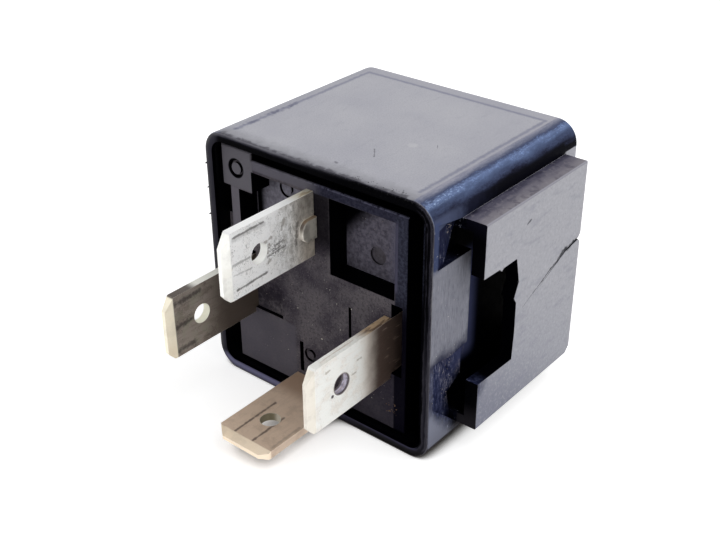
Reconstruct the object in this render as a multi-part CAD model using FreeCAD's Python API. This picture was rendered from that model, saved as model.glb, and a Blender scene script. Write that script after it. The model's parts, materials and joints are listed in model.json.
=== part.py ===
"""Plug-in automotive relay with four blades, lying on its lower side.

Millimetres. The origin is the point of the base's blade face where the case's centre line meets it.
-Y is the way the blades point, +X is the side that carries the bracket socket, +Z is up.
"""
import FreeCAD, Part
import math
import os

V = FreeCAD.Vector

# Case: a box that is open towards the blades; the edge radius serves base and socket too
CASE_WIDTH = 26.0
CASE_HEIGHT = 25.5
CASE_DEPTH = 22.5
RIM_STANDOFF = 0.9
WALL = 0.9
END_WALL = 1.0
CORNER_RADIUS = 2.2
END_EDGE_RADIUS = 0.6
RIM_EDGE_RADIUS = 0.2
EDGE_RADIUS = 0.15

# Bracket socket on the +X side: plate on two shelves, recess behind it, two lead-ins before it
SOCKET_STAND = 2.35
SOCKET_PLATE = 1.3
SOCKET_SHELF = 1.0
SOCKET_FRONT = 3.0
SOCKET_FROM_END = 2.5
SOCKET_FROM_TOP = 2.35
SOCKET_FROM_BOTTOM = 2.65
SOCKET_CORNER = 0.7
RECESS_DEPTH = 1.4
RECESS_START = 4.5
RECESS_RAMP = 2.2
RECESS_WALL = 0.85
LEAD_IN_START = -0.6
LEAD_IN_DEPTH = 0.6
UPPER_LEAD_IN_HEIGHT = 3.55
UPPER_MOUTH_FLARE = 0.6
UPPER_STEP_Y = 0.9
LOWER_LEAD_IN_HEIGHT = 7.8
LOWER_MOUTH_RISE = 3.2
LOWER_MOUTH_DIP = 0.4
LOWER_STEP_Y = 2.5
LOWER_STEP_FRONT_RISE = 3.1
LOWER_STEP_BACK_RISE = 4.4

# Damage that the case carries
WINDOW_FROM_TOP = 5.1
WINDOW_FROM_BOTTOM = 4.9
WINDOW_BACK = 8.3
WINDOW_RAG = 0.3
CRACK_START_WIDTH = 0.24
CRACK_FROM_WINDOW = 3.6
CRACK_DROP = 2.4
CRACK_FROM_TOP = 7.7
CHIP_DEPTH = 0.4
CHIP_HEIGHT = 0.9

# Base that closes the case: its block and boss keep these gaps to the case's inside
BASE_THICKNESS = 3.4
BASE_LEFT_GAP = 1.2
BASE_RIGHT_GAP = 1.05
BASE_TOP_GAP = 1.4
BASE_BOTTOM_GAP = 0.28
FLANGE_THICKNESS = 1.2
FLANGE_GAP = 0.05
BOSS_LEFT_GAP = 0.3
BOSS_TOP_GAP = 0.65
BOSS_WIDTH = 3.7
BOSS_HEIGHT = 4.0
LEDGE_RISE = 4.07
LEDGE_HEIGHT = 11.4
LEDGE_DEPTH = 0.8
POCKET_DEPTH = 2.3
POCKET_BAR = 1.1
LEFT_POCKET_FROM_BLADE = 0.6
LEFT_POCKET_HEIGHT = 6.85
SQUARE_POCKET_FROM_BLADE = 1.8
SQUARE_POCKET_SIDE_BAR = 1.3
SQUARE_POCKET_TOP_BAR = 0.85
SQUARE_POCKET_HEIGHT = 7.5
RELIEF_DEPTH = 0.4
RELIEF_WIDTH = 3.6
RELIEF_RISE = 0.55
SIDE_SLOT_WIDTH = 1.2
SIDE_SLOT_DEPTH = 2.0
SIDE_SLOT_RISE = 1.5
SLIT_DEPTH = 1.0
LONG_SLIT_X = -2.6
LONG_SLIT_WIDTH = 0.45
LONG_SLIT_FROM_BLADE = 0.45
LONG_SLIT_HEIGHT = 3.33
SHORT_SLIT_X = 3.42
SHORT_SLIT_WIDTH = 0.3
SHORT_SLIT_TOP = -0.5
SHORT_SLIT_HEIGHT = 5.1
RING_DIAMETER = 1.75
RING_GROOVE = 0.3
RING_DEPTH = 0.25
SMALL_RING_DIAMETER = 1.45
SMALL_RING_OFFSET = 1.1
DIMPLE_DIAMETER = 1.7
DIMPLE_DEPTH = 0.2
DIMPLE_RISE = 2.15

# Blades; each place is that of the face seen from the right or from above
BLADE_WIDTH = 6.3
BLADE_THICKNESS = 0.8
BLADE_LENGTH_30 = 11.0
BLADE_LENGTH_85 = 10.8
BLADE_LENGTH_86 = 11.0
BLADE_LENGTH_87 = 11.3
TIP_BEVEL_LENGTH = 0.9
TIP_THICKNESS = 0.4
TIP_CORNER_HIGH = 1.2
TIP_CORNER_LOW = 0.7
TIP_CORNER_LENGTH = 1.0
BLADE_HOLE = 1.9
HOLE_FROM_TIP = 4.15
SLOT_GAP = 0.03
FACE_X_30 = -0.6
CENTRE_30_FROM_BASE_TOP = 3.87
FACE_86_FROM_BASE_LEFT = 2.41
CENTRE_Z_86 = -2.45
FACE_85_FROM_BASE_RIGHT = 1.63
CENTRE_Z_85 = -2.95
FACE_87_FROM_BASE_BOTTOM = 1.19
CENTRE_X_87 = -0.12
LUG_LENGTH = 1.9
LUG_HEIGHT = 2.1
LUG_STAND = 0.45
LUG_CORNER = 0.85
LUG_EDGE_RADIUS = 0.15
POST_WIDTH = 1.4
POST_PAST_LEAD = 0.7
TENON_HEIGHT = 2.0
TENON_FROM_CORE = 1.0

# Magnet system; the core's diameter is a share of the bobbin's side, which leaves room for copper
SEAT_GAP = 0.02
YOKE_TOP_GAP = 1.75
YOKE_THICKNESS = 1.5
YOKE_INSET = 0.6
YOKE_FOOT_MARGIN = 1.6
YOKE_BEND = 0.5
CORE_SHARE = 5 / 11
POLE_RIM = 1.5
POLE_THICKNESS = 1.0
POLE_FROM_END_WALL = 3.7
BOBBIN_LEG_GAP = 0.4
BOBBIN_POST_GAP = 1.27
BOBBIN_SHELF_GAP = 1.4
BOBBIN_FLANGE = 0.9
BOBBIN_CORNER = 2.0
BOBBIN_TUBE_WALL = 0.75
COIL_INSET = 0.5
TAPE_THICKNESS = 0.1
TAPE_MARGIN = 0.2
LEAD_DIAMETER = 0.45
LEAD_FROM_FLANGE = 0.66

# Armature, its leaf spring and the contacts
OPEN_ANGLE = 2.6
ARMATURE_INSET = 0.6
ARMATURE_THICKNESS = 1.3
ARMATURE_OVERHANG = 0.5
ARMATURE_CHAMFER = 0.7
ARMATURE_SETBACK = 0.2
AIR_GAP = 0.04
SPRING_THICKNESS = 0.25
SPRING_WIDTH = 7.6
SPRING_MARGIN = 0.3
SPRING_NECK_TAPER = 1.2
SPRING_NECK_WIDTH = 3.6
EAR_RISE = 1.6
EAR_HEIGHT = 2.0
EAR_SHORT_OF_STOP = 0.2
SPRING_BEND = 0.8
SPRING_TAIL = 2.4
RIVET_DIAMETER = 1.5
RIVET_HEAD = 2.4
RIVET_HEAD_HEIGHT = 0.4
RIVET_SPACING = 4.0
RIVET_GAP = 0.03
ARMATURE_RIVET_ABOVE_CORE = 3.8
YOKE_RIVET_SETBACK = 4.9
CONTACT_RISE = 2.18
MOVING_CONTACT_DIAMETER = 2.8
MOVING_CONTACT_HEIGHT = 0.7
FIXED_CONTACT_DIAMETER = 3.0
FIXED_CONTACT_HEIGHT = 0.8
CONTACT_SHANK = 1.4
CONTACT_TAIL = 2.1
CONTACT_TAIL_HEIGHT = 0.35
CONTACT_GAP_CLOSED = 0.03
SHELF_WIDTH = 4.6
SHELF_MARGIN = 0.3
SHELF_BEND = 0.5
STOP_FROM_BLADE = 0.57
STOP_WIDTH = 2.0
STOP_THICKNESS = 0.5
STOP_SHORT_OF_EAR = 0.4
STOP_ROOT = 1.7
STOP_BEND = 0.3

# Outside and inside of the case
CASE_RIGHT = CASE_WIDTH / 2
CASE_LEFT = -CASE_WIDTH / 2
CASE_TOP = CASE_HEIGHT / 2
CASE_BOTTOM = -CASE_HEIGHT / 2
RIM_Y = -RIM_STANDOFF
END_Y = RIM_Y + CASE_DEPTH
INNER_RIGHT = CASE_RIGHT - WALL
INNER_LEFT = CASE_LEFT + WALL
INNER_TOP = CASE_TOP - WALL
INNER_BOTTOM = CASE_BOTTOM + WALL
INNER_END = END_Y - END_WALL

# Places of the socket and its damage
SOCKET_OUT = CASE_RIGHT + SOCKET_STAND
SOCKET_BACK = END_Y - SOCKET_FROM_END
SOCKET_TOP = CASE_TOP - SOCKET_FROM_TOP
SOCKET_BOTTOM = CASE_BOTTOM + SOCKET_FROM_BOTTOM
PLATE_IN = SOCKET_OUT - SOCKET_PLATE
CAVE_TOP = SOCKET_TOP - SOCKET_SHELF
CAVE_BOTTOM = SOCKET_BOTTOM + SOCKET_SHELF
LAND_TOP = SOCKET_TOP - UPPER_LEAD_IN_HEIGHT
LAND_BOTTOM = SOCKET_BOTTOM + LOWER_LEAD_IN_HEIGHT
RECESS_FLOOR = CASE_RIGHT - RECESS_DEPTH
LINER_X = RECESS_FLOOR - RECESS_WALL
WINDOW_TOP = SOCKET_TOP - WINDOW_FROM_TOP
WINDOW_BOTTOM = SOCKET_BOTTOM + WINDOW_FROM_BOTTOM
CRACK_HEIGHT = SOCKET_TOP - CRACK_FROM_TOP
CRACK_START_Y = SOCKET_BACK - CHIP_DEPTH / 2
CRACK_LENGTH = CRACK_START_Y - WINDOW_BACK - CRACK_FROM_WINDOW

# Places on the base
BASE_LEFT = INNER_LEFT + BASE_LEFT_GAP
BASE_RIGHT = LINER_X - BASE_RIGHT_GAP
BASE_TOP = INNER_TOP - BASE_TOP_GAP
BASE_BOTTOM = INNER_BOTTOM + BASE_BOTTOM_GAP
FLANGE_Y = BASE_THICKNESS - FLANGE_THICKNESS
BOSS_LEFT = INNER_LEFT + BOSS_LEFT_GAP
BOSS_RIGHT = BOSS_LEFT + BOSS_WIDTH
BOSS_HIGH = INNER_TOP - BOSS_TOP_GAP
BOSS_LOW = BOSS_HIGH - BOSS_HEIGHT
LEDGE_BOTTOM = BASE_BOTTOM + LEDGE_RISE
POCKET_LEFT = BASE_LEFT + POCKET_BAR
POCKET_TOP = BASE_TOP - POCKET_BAR
LEFT_POCKET_RIGHT = FACE_X_30 - BLADE_THICKNESS - LEFT_POCKET_FROM_BLADE
LEFT_POCKET_BOTTOM = POCKET_TOP - LEFT_POCKET_HEIGHT
SQUARE_POCKET_LEFT = FACE_X_30 + SQUARE_POCKET_FROM_BLADE
SQUARE_POCKET_RIGHT = BASE_RIGHT - SQUARE_POCKET_SIDE_BAR
SQUARE_POCKET_TOP = BASE_TOP - SQUARE_POCKET_TOP_BAR
SQUARE_POCKET_BOTTOM = SQUARE_POCKET_TOP - SQUARE_POCKET_HEIGHT

# Places of the blades
CENTRE_Z_30 = BASE_TOP - CENTRE_30_FROM_BASE_TOP
FACE_X_86 = BASE_LEFT + FACE_86_FROM_BASE_LEFT
FACE_X_85 = BASE_RIGHT - FACE_85_FROM_BASE_RIGHT
FACE_Z_87 = BASE_BOTTOM + FACE_87_FROM_BASE_BOTTOM
LONG_SLIT_BOTTOM = FACE_Z_87 + LONG_SLIT_FROM_BLADE
LONG_SLIT_TOP = LONG_SLIT_BOTTOM + LONG_SLIT_HEIGHT

# Heights inside, from the contacts up to the hinge; the square bobbin fills the smaller of its two rooms
WORKS_X = FACE_X_30
CONTACT_Z = FACE_Z_87 + CONTACT_RISE
SHELF_TOP = CONTACT_Z + FIXED_CONTACT_DIAMETER / 2 + SHELF_MARGIN
YOKE_OUTER_Z = INNER_TOP - YOKE_TOP_GAP
YOKE_INNER_Z = YOKE_OUTER_Z - YOKE_THICKNESS
ROOM_UP = YOKE_INNER_Z - BOBBIN_LEG_GAP - SHELF_TOP - BOBBIN_SHELF_GAP
ROOM_ACROSS = 2 * (FACE_X_85 - BLADE_THICKNESS - BOBBIN_POST_GAP - WORKS_X)
BOBBIN_SIDE = min(ROOM_UP, ROOM_ACROSS)
CORE_Z = YOKE_INNER_Z - BOBBIN_LEG_GAP - BOBBIN_SIDE / 2
CORE_DIAMETER = BOBBIN_SIDE * CORE_SHARE
POLE_DIAMETER = CORE_DIAMETER + 2 * POLE_RIM
COIL_DIAMETER = BOBBIN_SIDE - 2 * COIL_INSET
YOKE_WIDTH = BOBBIN_SIDE - 2 * YOKE_INSET
YOKE_FOOT_LOW = CORE_Z - CORE_DIAMETER / 2 - YOKE_FOOT_MARGIN
TENON_LOW = CORE_Z + CORE_DIAMETER / 2 + TENON_FROM_CORE
ARMATURE_WIDTH = YOKE_WIDTH - 2 * ARMATURE_INSET
ARMATURE_LOW = CORE_Z - POLE_DIAMETER / 2 - ARMATURE_OVERHANG
HINGE_Z = YOKE_OUTER_Z
ARMATURE_RIVET_Z = CORE_Z + ARMATURE_RIVET_ABOVE_CORE
SPRING_END_Z = CONTACT_Z - MOVING_CONTACT_DIAMETER / 2 - SPRING_MARGIN
EAR_TOP = CONTACT_Z + EAR_RISE
EAR_BOTTOM = EAR_TOP - EAR_HEIGHT
SPRING_NECK_Z = EAR_TOP + SPRING_NECK_TAPER
STOP_LEFT = CENTRE_X_87 + BLADE_WIDTH / 2 + STOP_FROM_BLADE
STOP_BOTTOM = FACE_Z_87 - STOP_THICKNESS
STOP_FINGER_TOP = EAR_TOP - STOP_SHORT_OF_EAR
EAR_X = STOP_LEFT + STOP_WIDTH - EAR_SHORT_OF_STOP

# Depths inside, from the base back to the pole and the armature
YOKE_FRONT = BASE_THICKNESS + SEAT_GAP
YOKE_FOOT_BACK = YOKE_FRONT + YOKE_THICKNESS
BOBBIN_FRONT = YOKE_FOOT_BACK + SEAT_GAP
LEAD_Y = BOBBIN_FRONT + BOBBIN_FLANGE + LEAD_FROM_FLANGE
POST_END = LEAD_Y + POST_PAST_LEAD
POLE_FACE = INNER_END - POLE_FROM_END_WALL
BOBBIN_BACK = POLE_FACE - POLE_THICKNESS - SEAT_GAP
YOKE_RIVET_Y = POLE_FACE - YOKE_RIVET_SETBACK
SPRING_TAIL_Y = YOKE_RIVET_Y - SPRING_TAIL
ARMATURE_Y = POLE_FACE + AIR_GAP
ARMATURE_TOP_Y = ARMATURE_Y + ARMATURE_THICKNESS
SPRING_TOP_Y = ARMATURE_TOP_Y + SPRING_THICKNESS
HINGE_Y = ARMATURE_Y
FIXED_FACE_Y = ARMATURE_TOP_Y - MOVING_CONTACT_HEIGHT - CONTACT_GAP_CLOSED
SHELF_Y = FIXED_FACE_Y - FIXED_CONTACT_HEIGHT
RIVET_HOLE = RIVET_DIAMETER + 2 * RIVET_GAP

# Working values of the modelling itself
CUT_MARGIN = 1.0
TOLERANCE = 1e-4


def box(x0, x1, y0, y1, z0, z1):
    """A block between two corners."""
    return Part.makeBox(x1 - x0, y1 - y0, z1 - z0, V(x0, y0, z0))


def closed_face(points):
    """A flat face inside a closed run of corner points."""
    return Part.Face(Part.makePolygon(list(points) + [points[0]]))


def prism_x(yz_points, x0, x1):
    """A profile in the YZ plane carried along X."""
    face = closed_face([V(x0, y, z) for y, z in yz_points])
    return face.extrude(V(x1 - x0, 0, 0))


def prism_y(xz_points, y0, y1):
    """A profile in the XZ plane carried along Y."""
    face = closed_face([V(x, y0, z) for x, z in xz_points])
    return face.extrude(V(0, y1 - y0, 0))


def prism_z(xy_points, z0, z1):
    """A profile in the XY plane carried along Z."""
    face = closed_face([V(x, y, z0) for x, y in xy_points])
    return face.extrude(V(0, 0, z1 - z0))


def rod_y(x, z, y0, y1, diameter):
    """A round rod along Y."""
    return Part.makeCylinder(diameter / 2, y1 - y0, V(x, y0, z), V(0, 1, 0))


def rod_x(y, z, x0, x1, diameter):
    """A round rod along X."""
    return Part.makeCylinder(diameter / 2, x1 - x0, V(x0, y, z), V(1, 0, 0))


def rod_z(x, y, z0, z1, diameter):
    """A round rod along Z."""
    return Part.makeCylinder(diameter / 2, z1 - z0, V(x, y, z0), V(0, 0, 1))


def edges_along(shape, axis, test):
    """Straight edges along one axis whose middle passes the test."""
    chosen = []
    for edge in shape.Edges:
        if len(edge.Vertexes) != 2 or edge.Curve.TypeId != "Part::GeomLine":
            continue
        run = edge.Vertexes[1].Point.sub(edge.Vertexes[0].Point)
        if abs(abs(run.dot(axis)) - run.Length) > TOLERANCE:
            continue
        if test(edge.CenterOfMass):
            chosen.append(edge)
    return chosen


def edges_at(shape, y, z):
    """Straight edges along X that run through one point of the YZ plane."""
    return edges_along(shape, V(1, 0, 0), lambda m: abs(m.y - y) + abs(m.z - z) < TOLERANCE)


def round_box(x0, x1, y0, y1, z0, z1, radius):
    """A block whose four edges along Y are rounded."""
    block = box(x0, x1, y0, y1, z0, z1)
    return block.makeFillet(radius, edges_along(block, V(0, 1, 0), lambda middle: True))


def clean(shape):
    """One solid with its split faces joined."""
    shape = shape.removeSplitter()
    if shape.ShapeType == "Compound" and len(shape.Solids) == 1:
        shape = shape.Solids[0]
    return shape


def case_shell():
    """The open box, rounded along its length and at its closed end."""
    outer = round_box(CASE_LEFT, CASE_RIGHT, RIM_Y, END_Y, CASE_BOTTOM, CASE_TOP, CORNER_RADIUS)
    end_loop = [edge for edge in outer.Edges if abs(edge.BoundBox.YMin - END_Y) < TOLERANCE]
    outer = outer.makeFillet(END_EDGE_RADIUS, end_loop)
    rim_loop = [edge for edge in outer.Edges if abs(edge.BoundBox.YMax - RIM_Y) < TOLERANCE]
    outer = outer.makeFillet(RIM_EDGE_RADIUS, rim_loop)
    cavity = round_box(INNER_LEFT, INNER_RIGHT, RIM_Y - CUT_MARGIN, INNER_END,
                       INNER_BOTTOM, INNER_TOP, CORNER_RADIUS - WALL)
    return outer.cut(cavity)


def case_liner():
    """Wall inside the case that backs the socket's recess and its two lead-ins."""
    skin = INNER_RIGHT + WALL / 2
    low = INNER_BOTTOM - WALL / 2
    high = INNER_TOP + WALL / 2
    ramp_back = SOCKET_BACK - RECESS_RAMP + RECESS_WALL
    tail = [(LINER_X, ramp_back - CUT_MARGIN), (skin, SOCKET_BACK + CUT_MARGIN / 2)]
    lead_in_back = LEAD_IN_START + RECESS_DEPTH + RECESS_WALL
    lead_in = [(skin, LEAD_IN_START + RECESS_WALL / 4), (LINER_X, lead_in_back)]
    land_front = RECESS_START - RECESS_WALL
    land = [(skin, land_front - RECESS_DEPTH / 4), (LINER_X, land_front)]
    shape = prism_z(lead_in + tail, LAND_TOP - RECESS_WALL, high)
    shape = shape.fuse(prism_z(land + tail, LAND_BOTTOM, LAND_TOP))
    shape = shape.fuse(prism_z(lead_in + tail, low, LAND_BOTTOM + RECESS_WALL))
    inside = round_box(INNER_LEFT, skin, RIM_Y, INNER_END + END_WALL / 2, low, high,
                       CORNER_RADIUS - WALL / 2)
    return shape.common(inside)


def socket_plate():
    """Outer plate of the socket, with the piece broken out of its front edge."""
    back = SOCKET_BACK
    front = SOCKET_FRONT
    rag = WINDOW_RAG
    chip_low = CRACK_HEIGHT - CHIP_HEIGHT / 2
    notch = (front + WINDOW_BACK) / 2
    outline = [
        (front, SOCKET_TOP), (back, SOCKET_TOP), (back, CRACK_HEIGHT + CHIP_HEIGHT / 2),
        (back - CHIP_DEPTH, CRACK_HEIGHT), (back, chip_low), (back, SOCKET_BOTTOM + SOCKET_CORNER),
        (back - SOCKET_CORNER, SOCKET_BOTTOM), (front, SOCKET_BOTTOM), (front, WINDOW_BOTTOM),
        (WINDOW_BACK, WINDOW_BOTTOM - rag / 2), (WINDOW_BACK + rag / 2, WINDOW_BOTTOM / 2),
        (WINDOW_BACK + rag / 3, 2 * rag), (WINDOW_BACK - rag, 4 * rag),
        (WINDOW_BACK + rag, WINDOW_TOP / 2), (WINDOW_BACK - rag, WINDOW_TOP - rag / 3),
        (notch + rag, WINDOW_TOP - rag / 3), (notch, WINDOW_TOP - rag), (notch - rag, WINDOW_TOP),
        (front, WINDOW_TOP + rag / 3),
    ]
    plate = prism_x(outline, PLATE_IN, SOCKET_OUT)
    heights = (SOCKET_TOP, SOCKET_BOTTOM)
    long_edges = edges_along(plate, V(0, 1, 0), lambda m: m.x > SOCKET_OUT - WALL and m.z in heights)
    return plate.makeFillet(EDGE_RADIUS, long_edges)


def crack():
    """Tapering crack that runs from the chip towards the broken-out window."""
    steps = ((0.0, 0.0), (0.33, 0.16), (0.62, 0.52), (1.0, 1.0))
    upper = []
    lower = []
    for along, down in steps:
        y = CRACK_START_Y - along * CRACK_LENGTH
        z = CRACK_HEIGHT - down * CRACK_DROP
        half = CRACK_START_WIDTH / 2 * (1 - along) + CRACK_START_WIDTH / 12
        upper.append((y, z + half))
        lower.append((y, z - half))
    return prism_x(upper + lower[::-1], PLATE_IN - WALL / 2, SOCKET_OUT + WALL / 2)


def socket_cuts():
    """Hollow behind the plate and the two lead-ins that run into it."""
    skin = CASE_RIGHT + WALL
    back = RECESS_START + CUT_MARGIN / 2
    floor = [(RECESS_FLOOR, RECESS_START), (RECESS_FLOOR, SOCKET_BACK - RECESS_RAMP),
             (CASE_RIGHT, SOCKET_BACK), (PLATE_IN, SOCKET_BACK), (PLATE_IN, SOCKET_FRONT - CUT_MARGIN),
             (CASE_RIGHT, SOCKET_FRONT - CUT_MARGIN), (CASE_RIGHT, RECESS_START)]
    cut = prism_z(floor, CAVE_BOTTOM, CAVE_TOP)
    shallow = CASE_RIGHT - LEAD_IN_DEPTH
    wedge = [(skin, LEAD_IN_START - CUT_MARGIN), (CASE_RIGHT, LEAD_IN_START),
             (shallow, RECESS_START / 2), (shallow, back), (skin, back)]
    upper_ramp = [(LEAD_IN_START, LAND_TOP), (LEAD_IN_START, SOCKET_TOP + UPPER_MOUTH_FLARE),
                  (SOCKET_FRONT, SOCKET_TOP), (SOCKET_FRONT, CAVE_TOP), (back, CAVE_TOP), (back, LAND_TOP)]
    lower_ramp = [(LEAD_IN_START, LAND_BOTTOM), (RECESS_START / 2, LAND_BOTTOM - LOWER_MOUTH_DIP),
                  (back, LAND_BOTTOM), (back, CAVE_BOTTOM), (SOCKET_FRONT, CAVE_BOTTOM),
                  (SOCKET_FRONT, SOCKET_BOTTOM), (LEAD_IN_START, SOCKET_BOTTOM + LOWER_MOUTH_RISE)]
    for ramp in (upper_ramp, lower_ramp):
        low = min(z for y, z in ramp)
        high = max(z for y, z in ramp)
        cut = cut.fuse(prism_z(wedge, low, high).common(prism_x(ramp, shallow, skin)))
    upper_step = [(UPPER_STEP_Y, LAND_TOP), (SOCKET_FRONT, SOCKET_TOP), (SOCKET_FRONT, CAVE_TOP),
                  (back, CAVE_TOP), (back, LAND_TOP)]
    lower_step = [(LOWER_STEP_Y, SOCKET_BOTTOM + LOWER_STEP_FRONT_RISE),
                  (back, SOCKET_BOTTOM + LOWER_STEP_BACK_RISE), (back, CAVE_BOTTOM),
                  (SOCKET_FRONT, CAVE_BOTTOM)]
    for step in (upper_step, lower_step):
        cut = cut.fuse(prism_x(step, RECESS_FLOOR, CASE_RIGHT + WALL / 2))
    return cut


def cover():
    """The case: shell, socket and the damage that it carries."""
    shape = case_shell().fuse(case_liner())
    root = CASE_RIGHT - WALL / 2
    for low, high in ((SOCKET_BOTTOM, CAVE_BOTTOM), (CAVE_TOP, SOCKET_TOP)):
        shape = shape.fuse(box(root, PLATE_IN, SOCKET_FRONT, SOCKET_BACK, low, high))
    shape = shape.cut(socket_cuts())
    return clean(shape.fuse(socket_plate()).cut(crack()))


def ring_groove(x, z, y, diameter):
    """Round witness groove sunk into a face at y."""
    outer = rod_y(x, z, y - CUT_MARGIN, y + RING_DEPTH, diameter)
    return outer.cut(rod_y(x, z, y - CUT_MARGIN, y + RING_DEPTH, diameter - 2 * RING_GROOVE))


def base_blank():
    """The base before its pockets: face block, corner boss, side ledge and the flange in the case."""
    block = box(BASE_LEFT, BASE_RIGHT, 0, BASE_THICKNESS, BASE_BOTTOM, BASE_TOP)
    block = clean(block.fuse(box(BOSS_LEFT, BOSS_RIGHT, 0, BASE_THICKNESS, BOSS_LOW, BOSS_HIGH)))
    face_edges = [edge for edge in block.Edges if edge.BoundBox.YMax < EDGE_RADIUS]
    block = block.makeFillet(EDGE_RADIUS, face_edges)
    left = INNER_LEFT + FLANGE_GAP
    right = INNER_RIGHT - FLANGE_GAP
    low = INNER_BOTTOM + FLANGE_GAP
    high = INNER_TOP - FLANGE_GAP
    ledge = box(left, BASE_LEFT + WALL, LEDGE_DEPTH, BASE_THICKNESS, LEDGE_BOTTOM,
                LEDGE_BOTTOM + LEDGE_HEIGHT)
    flange = round_box(left, right, FLANGE_Y, BASE_THICKNESS, low, high,
                       CORNER_RADIUS - WALL - FLANGE_GAP)
    margin = RECESS_WALL + FLANGE_GAP
    for z0, z1 in ((low, LAND_BOTTOM + margin), (LAND_TOP - margin, high)):
        flange = flange.cut(box(LINER_X - FLANGE_GAP, right, 0, BASE_THICKNESS, z0, z1))
    return block.fuse(ledge).fuse(flange)


def terminal_slots():
    """Slots that the four terminals pass through."""
    half = BLADE_WIDTH / 2 + SLOT_GAP
    back = BLADE_THICKNESS + SLOT_GAP
    y0 = -CUT_MARGIN
    y1 = BASE_THICKNESS + CUT_MARGIN
    upright = ((FACE_X_30, CENTRE_Z_30), (FACE_X_86, CENTRE_Z_86), (FACE_X_85, CENTRE_Z_85))
    cuts = [box(x - back, x + SLOT_GAP, y0, y1, z - half, z + half) for x, z in upright]
    cuts.append(box(CENTRE_X_87 - half, CENTRE_X_87 + half, y0, y1, FACE_Z_87 - back,
                    FACE_Z_87 + SLOT_GAP))
    return cuts


def coil_terminal_reliefs():
    """Shallow relief beside the left coil terminal and deep slot beside the right one."""
    half = BLADE_WIDTH / 2
    relief = box(FACE_X_86, FACE_X_86 + RELIEF_WIDTH, -CUT_MARGIN, RELIEF_DEPTH,
                 CENTRE_Z_86 - half + RELIEF_RISE, CENTRE_Z_86 + half + RELIEF_RISE)
    side_slot = box(FACE_X_85, FACE_X_85 + SIDE_SLOT_WIDTH, -CUT_MARGIN, SIDE_SLOT_DEPTH,
                    CENTRE_Z_85 - half + RELIEF_RISE, CENTRE_Z_85 + half + SIDE_SLOT_RISE)
    return [relief, side_slot]


def pockets():
    """The two sunk pockets beside the upper blade; the left one steps round the boss."""
    spans = (
        (POCKET_LEFT, LEFT_POCKET_RIGHT, LEFT_POCKET_BOTTOM, BOSS_LOW),
        (BOSS_RIGHT, LEFT_POCKET_RIGHT, LEFT_POCKET_BOTTOM, POCKET_TOP),
        (SQUARE_POCKET_LEFT, SQUARE_POCKET_RIGHT, SQUARE_POCKET_BOTTOM, SQUARE_POCKET_TOP),
    )
    return [box(x0, x1, -CUT_MARGIN, POCKET_DEPTH, z0, z1) for x0, x1, z0, z1 in spans]


def slits():
    """The long slit and the short one in the lower half of the face."""
    spans = (
        (LONG_SLIT_X, LONG_SLIT_WIDTH, LONG_SLIT_BOTTOM, LONG_SLIT_TOP),
        (SHORT_SLIT_X, SHORT_SLIT_WIDTH, SHORT_SLIT_TOP - SHORT_SLIT_HEIGHT, SHORT_SLIT_TOP),
    )
    return [box(x - width / 2, x + width / 2, -CUT_MARGIN, SLIT_DEPTH, z0, z1)
            for x, width, z0, z1 in spans]


def witness_marks():
    """Ring grooves left by the mould's pins, and the dimple in the square pocket."""
    boss_x = (BOSS_LEFT + BOSS_RIGHT) / 2
    boss_z = (BOSS_LOW + BOSS_HIGH) / 2
    pocket_x = (POCKET_LEFT + LEFT_POCKET_RIGHT) / 2
    dimple_x = (SQUARE_POCKET_LEFT + SQUARE_POCKET_RIGHT) / 2
    dimple_z = SQUARE_POCKET_BOTTOM + DIMPLE_RISE
    small_x = LONG_SLIT_X + SMALL_RING_OFFSET
    small_z = LONG_SLIT_TOP - SMALL_RING_OFFSET
    return [
        ring_groove(boss_x, boss_z, 0, RING_DIAMETER),
        ring_groove(pocket_x, BOSS_LOW + RING_GROOVE, POCKET_DEPTH, RING_DIAMETER),
        ring_groove(small_x, small_z, 0, SMALL_RING_DIAMETER),
        rod_y(dimple_x, dimple_z, 0, POCKET_DEPTH + DIMPLE_DEPTH, DIMPLE_DIAMETER),
    ]


def stop_slot():
    """Blind slot in the back of the base that holds the rest stop's root."""
    return box(STOP_LEFT - SLOT_GAP, STOP_LEFT + STOP_WIDTH + SLOT_GAP, STOP_ROOT - SLOT_GAP,
               BASE_THICKNESS, STOP_BOTTOM - SLOT_GAP, FACE_Z_87 + SLOT_GAP)


def base():
    """The moulded base with its pockets, slits, witness rings and slots."""
    shape = base_blank()
    for cut in pockets() + slits() + witness_marks() + terminal_slots() + coil_terminal_reliefs():
        shape = shape.cut(cut)
    return clean(shape.cut(stop_slot()))


def blade(length, back):
    """One blade in its own frame: length along -Y from 0, width along Z, near face on X = 0."""
    half = BLADE_WIDTH / 2
    tip = -length
    shoulder = tip + TIP_BEVEL_LENGTH
    inset = (BLADE_THICKNESS - TIP_THICKNESS) / 2
    section = [(0, back), (0, shoulder), (-inset, tip), (-inset - TIP_THICKNESS, tip),
               (-BLADE_THICKNESS, shoulder), (-BLADE_THICKNESS, back)]
    body = prism_z(section, -half, half)
    low_corner_length = TIP_CORNER_LENGTH * TIP_CORNER_LOW / TIP_CORNER_HIGH
    outline = [(back, half), (tip + TIP_CORNER_LENGTH, half), (tip, half - TIP_CORNER_HIGH),
               (tip, -half + TIP_CORNER_LOW), (tip + low_corner_length, -half), (back, -half)]
    body = body.common(prism_x(outline, -BLADE_THICKNESS, 0))
    hole = rod_x(tip + HOLE_FROM_TIP, 0, -BLADE_THICKNESS - CUT_MARGIN, CUT_MARGIN, BLADE_HOLE)
    return body.cut(hole)


def upright_blade(face_x, centre_z, length):
    """A blade that stands on edge, moved to its place."""
    shape = blade(length, BASE_THICKNESS)
    shape.translate(V(face_x, 0, centre_z))
    return shape


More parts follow.
